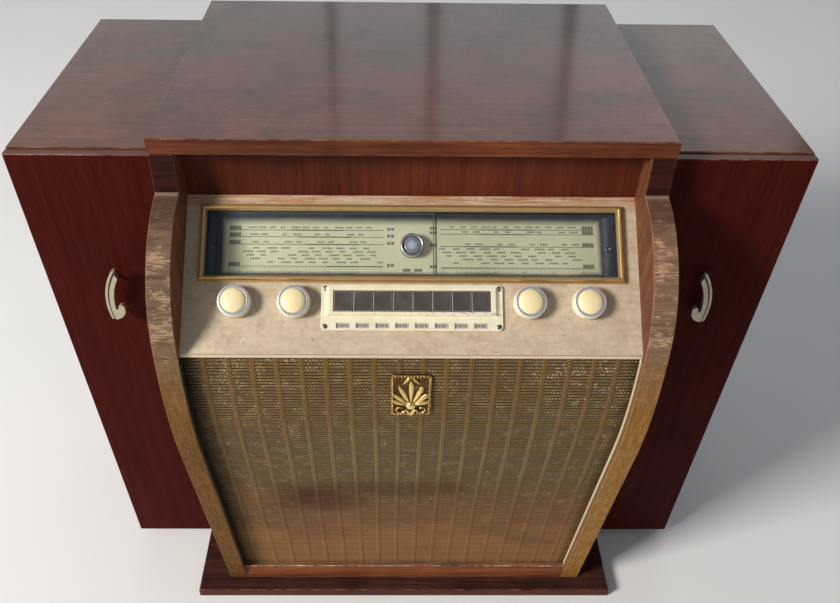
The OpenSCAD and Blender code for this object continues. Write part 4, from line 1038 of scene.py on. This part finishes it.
def key_labels():
    """A card in each window of the escutcheon, with plain bars on it."""
    cards, bars = bmesh.new(), bmesh.new()
    half_w, half_h = 7.2 * MM, 2.7 * MM
    card_low, card_top, ink_top = 1.05 * MM, 1.4 * MM, 1.46 * MM
    middle_s = panel_box("key_escutcheon")[0].y + 5.5 * MM
    bar_lo, bar_hi = middle_s - 1.6 * MM, middle_s + 1.6 * MM
    for index in range(KEY_COUNT):
        x = (index - (KEY_COUNT - 1) / 2) * KEY_PITCH
        block(cards, (x - half_w, middle_s - half_h, card_low), (x + half_w, middle_s + half_h, card_top))
        for bar in range(4):
            left = x - 6 * MM + bar * 3.1 * MM
            width = (1.7 + 0.6 * ((bar + index) % 2)) * MM
            block(bars, (left, bar_lo, card_top), (left + width, bar_hi, ink_top))
    for name, bm, finish, slot in (("label_cards", cards, label_card, "ivory_plastic"),
                                   ("label_bars", bars, label_ink, "dial_print")):
        on_slope(bm)
        piece(name, bm, [finish], "cabinet")


def bezel():
    """A gilt frame: an outer lip, a groove, a round bar and a slope down to the glass."""
    lo, hi = panel_box("dial_bezel")
    bm = bmesh.new()
    lip = [(0, 2.2)] + quarter_round(0.6, 0.6, 3)
    groove = [(0.5, 0), (0.25, -0.8), (0.35, 0)]
    bar = [(0.2, 1.6)] + quarter_round(2.2, 3, 5)
    inside = [(a, -b) for a, b in reversed(quarter_round(2.6, 3.2, 5))] + [(0.8, -2.2)]
    face = build_up(bm, plate(bm, hi.x - lo.x, hi.y - lo.y), lip + groove + bar + inside)
    bore(bm, face)
    on_slope(bm, s=(lo.y + hi.y) / 2)
    piece("bezel_frame", bm, [bezel_gold], "cabinet", ["dial_bezel"], crease=32)


def dial_border_piece():
    """The dark border round the scale, and the dark walls of the opening under the glass."""
    wall, card = 5 * MM, 0.15 * MM
    bm = bmesh.new()
    outer = plate(bm, glass_hi.x - glass_lo.x, glass_hi.y - glass_lo.y)
    move(bm, outer.verts, Matrix.Translation((0, DIAL_S, 0)))
    inner = plate(bm, SCALE_W, SCALE_H, 2 * MM)
    move(bm, inner.verts, Matrix.Translation((0, SCALE_S, 0)))
    rim = outer.edges[:]
    hole = inner.edges[:]
    bmesh.ops.delete(bm, geom=[outer, inner], context="FACES_ONLY")
    bmesh.ops.bridge_loops(bm, edges=rim + hole)
    draw_out(bm, [e for e in rim if e.is_valid], (0, 0, wall))
    on_slope(bm, n=PLATE_N + card)
    made = piece("dial_border", bm, [dial_border], "cabinet", even=False)
    thicken(made, "paint_card", card)


def dial_marks():
    """Scale lines, end blocks, ticks and name bars of a generic wave scale, printed on the plate.

    Its numbers are millimetres from the middle of the dial, across it and up it.
    """
    rows_left, rows_right = (17.3, 9.5, 1, -24), (18.9, 13.6, -0.6, -25)
    line_in, line_out, line_w, bold_w = 31, 203, 0.8, 1.3
    letter_w, letter_pitch = 1.2, 1.6
    bm = bmesh.new()
    low, high = PLATE_N, PLATE_N + 0.06 * MM

    def bar(x0, x1, s, thick):
        x0, x1 = sorted((x0, x1))
        block(bm, (x0 * MM, DIAL_S + (s - thick / 2) * MM, low),
              (x1 * MM, DIAL_S + (s + thick / 2) * MM, high))

    def name_bar(x, s, letters):
        for i in range(letters):
            left = x + i * letter_pitch
            bar(left, left + letter_w, s + 0.2 * (i % 2), 1.5 + 0.5 * ((i + letters) % 2))

    for side, rows in ((-1, rows_left), (1, rows_right)):
        for row in rows:
            bar(side * line_in, side * line_out, row, line_w)
            bar(side * (58 + row), side * (118 + row), row, bold_w)
            for part in range(4):
                bar(side * (190 + part * 3.2), side * (192.95 + part * 3.2), row + 2.6, 4.2)
            for part in range(2):
                bar(side * (20 + part * 4.2), side * (23.2 + part * 4.2), row + 1.5, 3.4)
        for tick in range(44):
            x = side * (34 + tick * 3.9)
            bar(x - 0.22, x + 0.22, rows[3] - (2.2 if tick % 4 else 2.9), 1.8 if tick % 4 else 3.2)
        for stack in range(10):
            for step in range(5):
                x = side * (42 + stack * 15.2) + (step - 2) * 3.9
                if (stack * 3 + step * 5) % 8 < 7 and abs(x) < 184:
                    name_bar(x - 4, -3.4 - step * 4, 4 + (stack + 2 * step) % 4)
        for group in range(12):
            x = side * (46 + group * 12)
            name_bar(x - 4, rows[0] + 3, 3 + group % 4)
            if group % 3:
                name_bar(x - 2, rows[1] + 2.7, 3 + group % 4)
                name_bar(x + 1, rows[2] + 2.7, 3 + group % 3)
    bar(-10, -1.6, -27.8, 3.2)
    bar(2.6, 11.4, -27.8, 3.2)
    on_slope(bm)
    piece("dial_marks", bm, [print_ink], "cabinet", even=False)


def dial_numbers():
    """Plain numbers along the lowest scale lines."""
    rows = (-1, (20, 30, 40, 50, 60)), (1, (55, 70, 90, 110, 150))
    first_x, pitch, foot_s = 60 * MM, 32.5 * MM, DIAL_S - 31.4 * MM
    half_ink = 0.03 * MM
    bm = bmesh.new()
    for x, number in [(side * (first_x + i * pitch), n) for side, row in rows for i, n in enumerate(row)]:
        curve = bpy.data.curves.new(f"number_{number}", "FONT")
        curve.body = str(number)
        curve.size = 3.6 * MM
        curve.extrude = half_ink
        curve.align_x = "CENTER"
        words = bpy.data.objects.new(f"number_{number}", curve)
        before = set(bm.verts)
        bm.from_mesh(words.to_mesh())
        move(bm, added(bm, before), Matrix.Translation((x, foot_s, PLATE_N + half_ink)))
        words.to_mesh_clear()
        bpy.data.objects.remove(words)
        bpy.data.curves.remove(curve)
    on_slope(bm)
    piece("dial_numbers", bm, [print_ink], "cabinet", even=False)


def tuning_eye():
    """A plated ring round a domed lens."""
    rim, wall, back = EYE_R / MM, 3.4, -10
    section = [(0, back), (0, 0.9), (0.5, 1.7), (1.3, 2), (2.2, 1.7), (2.9, 0.9), (wall, -0.4), (wall, back),
               (0, back)]
    ring, lens = bmesh.new(), bmesh.new()
    turned(ring, [(rim - inwards, rise) for inwards, rise in section])
    inner = rim - wall - 0.1
    turned(lens, [(0, back), (inner, back)] + dome(inner, -1.2, 1.2, 8) + [(0, 1.2)])
    for name, bm, finish, slot in (("eye_ring", ring, eye_chrome, "eye_steel"),
                                   ("eye_dome", lens, eye_lens, "dial_glass")):
        on_slope(bm, s=EYE_S)
        piece(name, bm, [finish], "cabinet", ["magic_eye"], crease=50)


def dial_clips():
    """A spring clip at each end of the dial, which holds the glass."""
    clip_x = 218.5 * MM
    ring = [(1.2, 0), (3.4, 0), (3.4, 0.9), (2.6, 1.5), (1.2, 0.8), (1.2, 0)]
    bm = bmesh.new()
    for x in (-clip_x, clip_x):
        before = set(bm.verts)
        turned(bm, ring, 24)
        tongue = plate(bm, width=2.4 * MM, height=9 * MM, corner=1 * MM, segments=3)
        build_up(bm, tongue, [(0, 0.5)])
        move(bm, added(bm, before), Matrix.Translation((x, EYE_S - 2 * MM, PLATE_N + 0.2 * MM)))
    on_slope(bm)
    piece("dial_clips", bm, [dark_steel], "cabinet")


def control_panel():
    for node in ("volume_knob", "bass_knob", "treble_knob", "tuning_knob"):
        knob(node)
    for index in range(1, KEY_COUNT + 1):
        wave_key(index)
    escutcheon()
    escutcheon_ridge()
    escutcheon_screws()
    key_labels()
    bezel()
    dial_border_piece()
    dial_marks()
    dial_numbers()
    dial_clips()
    tuning_eye()


# Grille

FACE_R = BELLY_R - GRILLE_RECESS
top_turn = math.asin((cloth_hi.z - BELLY_Z) / FACE_R)
arc_length = FACE_R * (top_turn + LEG_LEAN)
leg_top = Vector((0, belly_y - FACE_R * math.cos(LEG_LEAN), BELLY_Z - FACE_R * math.sin(LEG_LEAN)))
cloth_length = arc_length + (leg_top.z - cloth_lo.z) / math.cos(LEG_LEAN)


def on_grille(x, down, out):
    """A point of the grille: across, down along its face from the top, and out of it."""
    turn = max(top_turn - down / FACE_R, -LEG_LEAN)
    outwards = Vector((0, -math.cos(turn), math.sin(turn)))
    below = max(down - arc_length, 0)
    downwards = Vector((0, math.sin(LEG_LEAN), -math.cos(LEG_LEAN)))
    centre = Vector((x, belly_y, BELLY_Z))
    return centre + outwards * (FACE_R + out) + downwards * below


def strip(bm, x0, x1, columns, rows):
    """A flat grid from x0 to x1, whose Y runs down the grille from 0 to its length."""
    verts = bmesh.ops.create_grid(bm, x_segments=columns, y_segments=rows, size=0.5)["verts"]
    bmesh.ops.scale(bm, vec=(x1 - x0, cloth_length, 1), verts=verts)
    bmesh.ops.translate(bm, vec=((x0 + x1) / 2, cloth_length / 2, 0), verts=verts)
    return verts


def slack(x, down):
    """How far the cloth stands out in soft waves."""
    return 0.25 * MM * math.sin(x * 41) * math.sin(down * 33)


def cloth():
    """The woven cloth: its level cords are ridges, with gaps between them."""
    steps = 6
    cords = round(cloth_length / CORD_PITCH)
    pitch, warp = cloth_length / cords, 2 * MM
    gap_depth, cord_rise = 0.75 * MM, 0.6 * MM
    bm = bmesh.new()
    weave = bm.loops.layers.uv.new("weave")
    height = bm.verts.layers.float.new("cord")
    verts = strip(bm, cloth_lo.x, cloth_hi.x, 36, cords * steps)
    for face in bm.faces:
        for loop in face.loops:
            loop[weave].uv = (loop.vert.co.x / warp, loop.vert.co.y / pitch)
    for vert in verts:
        x, down = vert.co.x, vert.co.y
        across = (down / pitch) % 1
        vert[height] = max(0, math.sin(math.pi * across)) ** 0.7
        vert.co = on_grille(x, down, cord_rise * vert[height] - gap_depth + slack(x, down))
    made = piece("grille_cloth_sheet", bm, [grille_weave], "cabinet", ["grille_cloth"],
                 crease=80, even=False)
    thicken(made, "thread_thickness", 0.4 * MM)
    return made


def ribbons():
    """Ochre ribbons woven in down the cloth, each a little crowned."""
    bm = bmesh.new()
    for index in range(RIBBON_COUNT):
        middle = (index - (RIBBON_COUNT - 1) / 2) * RIBBON_PITCH
        for vert in strip(bm, middle - RIBBON_W / 2, middle + RIBBON_W / 2, 4, 90):
            x, down = vert.co.x, vert.co.y
            crown = 1 - (2 * (x - middle) / RIBBON_W) ** 2
            sway = 0.5 * MM * math.sin(down * 9 + index * 1.7)
            vert.co = on_grille(x + sway, down, (0.2 * crown - 0.25) * MM + slack(x, down))
    made = piece("grille_ribbons", bm, [grille_ribbon], "cabinet", even=False)
    thicken(made, "straw_thickness", 0.25 * MM)
    return made


def grille_trims():
    """A gilt strip down each side of the grille, in the corner between the cloth and the cheek."""
    bm = bmesh.new()
    lip = bm.verts.layers.float.new("lip")
    depth = GRILLE_RECESS - 1 * MM
    for side in (-1, 1):
        x = side * (cheek_lo.x - 0.3 * MM)
        for vert in strip(bm, -depth / 2, depth / 2, 5, 60):
            vert[lip] = 1 if vert.co.x > 0 else 0
            vert.co = on_grille(x, vert.co.y, depth / 2 - 0.4 * MM + vert.co.x)
    for level, outwards in ((rail_hi.z, -1), (cloth_hi.z, 1)):
        bmesh.ops.bisect_plane(bm, geom=bm.verts[:] + bm.edges[:] + bm.faces[:], plane_co=(0, 0, level),
                               plane_no=(0, 0, outwards), clear_outer=True)
    made = piece("grille_trims", bm, [trim_gold], "cabinet", even=False)
    thicken(made, "strip_thickness", 0.4 * MM, 0)


# The boss where the leaves of the fan meet: its place up from the ornament's middle, in millimetres
BOSS_Y = -16


def leaf(bm, turn, length, breadth, rise, x=0, y=BOSS_Y):
    """A leaf that broadens to its tip, turned about its foot at x, y. Sizes in millimetres."""
    length, breadth, rise, x, y = (size * MM for size in (length, breadth, rise, x, y))
    verts = bmesh.ops.create_uvsphere(bm, u_segments=16, v_segments=10, radius=1)["verts"]
    bmesh.ops.scale(bm, vec=(breadth / 2, length / 2, rise), verts=verts)
    for vert in verts:
        along = vert.co.y / length + 0.5
        vert.co.x *= 0.45 + 0.75 * along
        vert.co.z *= 1 - 0.35 * abs(vert.co.x) / breadth
    move(bm, verts, Matrix.Translation((x, y, 1.6 * MM)) @ Matrix.Rotation(turn, 4, "Z")
         @ Matrix.Translation((0, length / 2 + 3 * MM, 0)))


def scroll(bm, x, y, radius, start, turn):
    """A curl of a round bar that draws in. Sizes in millimetres."""
    bar_r = 1.5
    before = set(bm.verts)
    stand = Matrix.Translation((radius * MM, 0, 0)) @ Matrix.Rotation(math.pi / 2, 4, "X")
    ring = bmesh.ops.create_circle(bm, segments=10, radius=bar_r * MM, matrix=stand)["verts"]
    loop = list({e for v in ring for e in v.link_edges})
    bmesh.ops.spin(bm, geom=ring + loop, cent=(0, 0, 0), axis=UP, angle=turn, steps=28)
    for vert in added(bm, before):
        angle = math.atan2(vert.co.y, vert.co.x) * math.copysign(1, turn) % math.tau
        draw = 1 - 0.55 * angle / abs(turn)
        vert.co.x *= draw
        vert.co.y *= draw
    bmesh.ops.holes_fill(bm, edges=[e for e in bm.edges if e.is_boundary], sides=0)
    move(bm, added(bm, before), Matrix.Translation((x * MM, y * MM, 2 * MM))
         @ Matrix.Rotation(start, 4, "Z"))


def ornament():
    """A gilt relief: a fan of leaves over two scrolls, inside a beaded border."""
    boss = [(0, 1), (6, 1), (5.6, 3.4), (4, 5), (2, 5.8), (0, 6)]
    full_relief = 5 * MM
    beads = [(side * 20.6, (i - 8) * 3.4) for i in range(17) for side in (-1, 1)]
    beads += [((i - 5) * 3.55, side * 29.6) for i in range(11) for side in (-1, 1)]
    bm = bmesh.new()
    ground = plate(bm, width=45.6 * MM, height=63 * MM, corner=4 * MM)
    build_up(bm, ground, [(0, 1.6), (0.5, 0.5), (1.2, 0), (0.6, -0.9)])
    for step in range(-3, 4):
        leaf(bm, -math.radians(24) * step, 36 - 5.5 * abs(step), 7.4, 3.4 - 0.3 * abs(step))
    for side in (-1, 1):
        scroll(bm, side * 12, -22, 6.5, math.pi if side > 0 else 0, side * 5.2)
        leaf(bm, side * math.radians(150), 13, 6, 2.4, side * 7, -19)
        leaf(bm, side * math.radians(40), 15, 5, 2.2, side * 12, 15)
    before = set(bm.verts)
    turned(bm, boss, 32)
    move(bm, added(bm, before), Matrix.Translation((0, BOSS_Y * MM, 0)))
    for x, y in beads:
        bmesh.ops.create_icosphere(bm, subdivisions=2, radius=1.2 * MM,
                                   matrix=Matrix.Translation((x * MM, y * MM, 2.2 * MM)))
    relief = bm.verts.layers.float.new("relief")
    for vert in bm.verts:
        vert[relief] = min(1, max(0, vert.co.z / full_relief))
    centre = (emblem_lo + emblem_hi) / 2
    lean = math.asin((centre.z - BELLY_Z) / FACE_R)
    seat = Vector((0, belly_y - FACE_R * math.cos(lean) - 0.1 * MM, centre.z))
    move(bm, bm.verts, Matrix.Translation(seat) @ Matrix.Rotation(math.pi / 2 - lean, 4, "X"))
    piece("grille_ornament", bm, [gilt], "cabinet", ["grille_emblem"], crease=45, even=False)


def grille():
    sheet = cloth()
    straws = ribbons()
    grille_trims()
    ornament()


# Door handles

def handle(side):
    """A bow of two ribs with a dark groove between them, and every edge eased."""
    node = side + "_door_handle"
    bm = solid_of(node)
    bm.normal_update()
    fronts = {face: face.calc_center_median().y for face in bm.faces if face.normal.y < -0.9}
    for face, depth in fronts.items():
        face.material_index = 1 if depth > max(fronts.values()) - 0.5 * MM else 0
    made = piece(node + "_bow", bm, [handle_metal, handle_groove], side + "_door", [node],
                 crease=30, even=False)
    ease = made.modifiers.new("eased_edges", "BEVEL")
    ease.limit_method = "ANGLE"
    ease.angle_limit = math.radians(35)
    ease.width = 0.4 * MM
    ease.segments = 2
    made.modifiers.new("even_shading", "WEIGHTED_NORMAL").keep_sharp = True


# Record player

def turntable_mat():
    """The mat of the turntable: rings with grooves between them, round a sunk middle."""
    lo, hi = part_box("platter_mat")
    outer, top = (hi.x - lo.x) / 2 / MM, (hi.z - lo.z) / MM
    groove, sunk = 0.55 * top, 0.4 * top
    middle_r, hole_r = 48, 6.3
    rings = [(outer, 0), (outer, 0.7 * top), (outer - 1, top)]
    radius = outer - 3
    while radius > middle_r + 2:
        rings += [(radius, top), (radius - 0.8, groove), (radius - 1.6, groove), (radius - 2.4, top)]
        radius -= 5
    rings += [(middle_r, top), (middle_r - 2, sunk), (hole_r, sunk), (hole_r, 0), (outer, 0)]
    bm = bmesh.new()
    turned(bm, rings, 96)
    move(bm, bm.verts, Matrix.Translation(((lo.x + hi.x) / 2, (lo.y + hi.y) / 2, lo.z)))
    piece("turntable_mat", bm, [rubber], "platter", ["platter_mat"])


def tonearm_shell():
    bm = solid_of("tonearm")
    soften(bm, sharp_edges(bm, 4 * MM), 1 * MM)
    piece("tonearm_shell", bm, [arm_ivory], "tonearm", ["tonearm"])


# Finishes of the solids that stay as they are

DRESSED = (
    (panel_veneer, "control_panel"),
    (carcass_wood, "baffle_board", "back_rail"),
    (hardboard, "back_panel"),
    (case_wood, "motor_board"),
    (rubber, "cable_gland"),
    (steel, "record_spindle", "chassis", "control_pots", "key_switch", "tuning_capacitor", "tuning_rotor",
     "tonearm_yoke"),
    (dark_steel, "speaker_frame", "phono_motor"),
    (brass, "fixed_hinge_leaves", "stay_guide", "lid_hinge_leaves", "lid_stay", "left_door_leaves",
     "right_door_leaves"),
    (cone_paper, "speaker_cone"),
    (arm_ivory, "tonearm_base"),
    (valve_glass, "chassis_valves"),
    (platter_metal, "platter"),
    (dial_window, "dial_glass"),
    (dial_cream, "dial_plate"),
    (pointer_paint, "dial_pointer"),
)


def dress_solids():
    for finish, *nodes in DRESSED:
        for node in nodes:
            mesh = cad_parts[node].data
            mesh.materials.clear()
            mesh.materials.append(finish)


# Floor, light and camera

def studio():
    bm = bmesh.new()
    bmesh.ops.create_grid(bm, x_segments=1, y_segments=1, size=6)
    floor = mesh_object("studio_floor", bm, [floor_finish()])
    world = bpy.data.worlds.new("studio_world")
    bpy.context.scene.world = world
    world.use_nodes = True
    sky = world.node_tree.nodes["Background"].inputs
    sky["Color"].default_value = (0.9, 0.94, 1.0, 1)
    sky["Strength"].default_value = 0.23


# The panels of the back light: left end, right end, power
BACK_LIGHTS = ((-2.3, -0.38, 9), (-0.33, 0.16, 2.6), (0.23, 0.9, 3.6), (0.98, 2.3, 8.4))


def lamp(name, place, aim, width, height, power, tone):
    data = bpy.data.lights.new(name, "AREA")
    data.shape = "RECTANGLE"
    data.size = width
    data.size_y = height
    data.energy = power
    data.color = tone
    made = bpy.data.objects.new(name, data)
    made.location = place
    made.rotation_euler = (Vector(aim) - Vector(place)).to_track_quat("-Z", "Y").to_euler()
    bpy.context.scene.collection.objects.link(made)


def lights():
    """A warm key from the front left, a weak fill, and a back light in panels like a row of windows."""
    lamp("key_light", (-3.67, -2.3, 2.95), (0, 0, 0.45), 1.2, 1.2, 304, (1.0, 0.96, 0.9))
    lamp("fill_light", (1.8, -2.4, 2.2), (0, 0, 0.4), 2.5, 2.5, 4, (0.95, 0.97, 1.0))
    for number, (left, right, power) in enumerate(BACK_LIGHTS, 1):
        middle = (left + right) / 2
        lamp(f"back_light_{number}", (middle, 3.2, 2.35), (0.8 * middle, 0, 0.75), right - left, 2.5, power,
             (0.96, 0.98, 1.0))


def camera():
    """The photograph's viewpoint: how high it looks down, how far it turns and leans, and its lens."""
    pitch, turn, lean = (math.radians(a) for a in (41.03, 1.0, 0.94))
    data = bpy.data.cameras.new("camera")
    data.sensor_fit = "HORIZONTAL"
    data.sensor_width = 36
    data.lens = 33.217
    data.shift_x = 0.021
    data.shift_y = -0.0032
    made = bpy.data.objects.new("camera", data)
    bpy.context.scene.collection.objects.link(made)
    made.matrix_world = (Matrix.Translation((-0.0217, -0.8333, 1.1591)) @ Matrix.Rotation(-turn, 4, "Z")
                         @ Matrix.Rotation(math.pi / 2 - pitch, 4, "X") @ Matrix.Rotation(lean, 4, "Z"))
    bpy.context.scene.camera = made


boards()
control_panel()
grille()
for hand in ("left", "right"):
    handle(hand)
turntable_mat()
tonearm_shell()
dress_solids()
studio()
lights()
camera()
bpy.context.scene.view_settings.view_transform = "Standard"
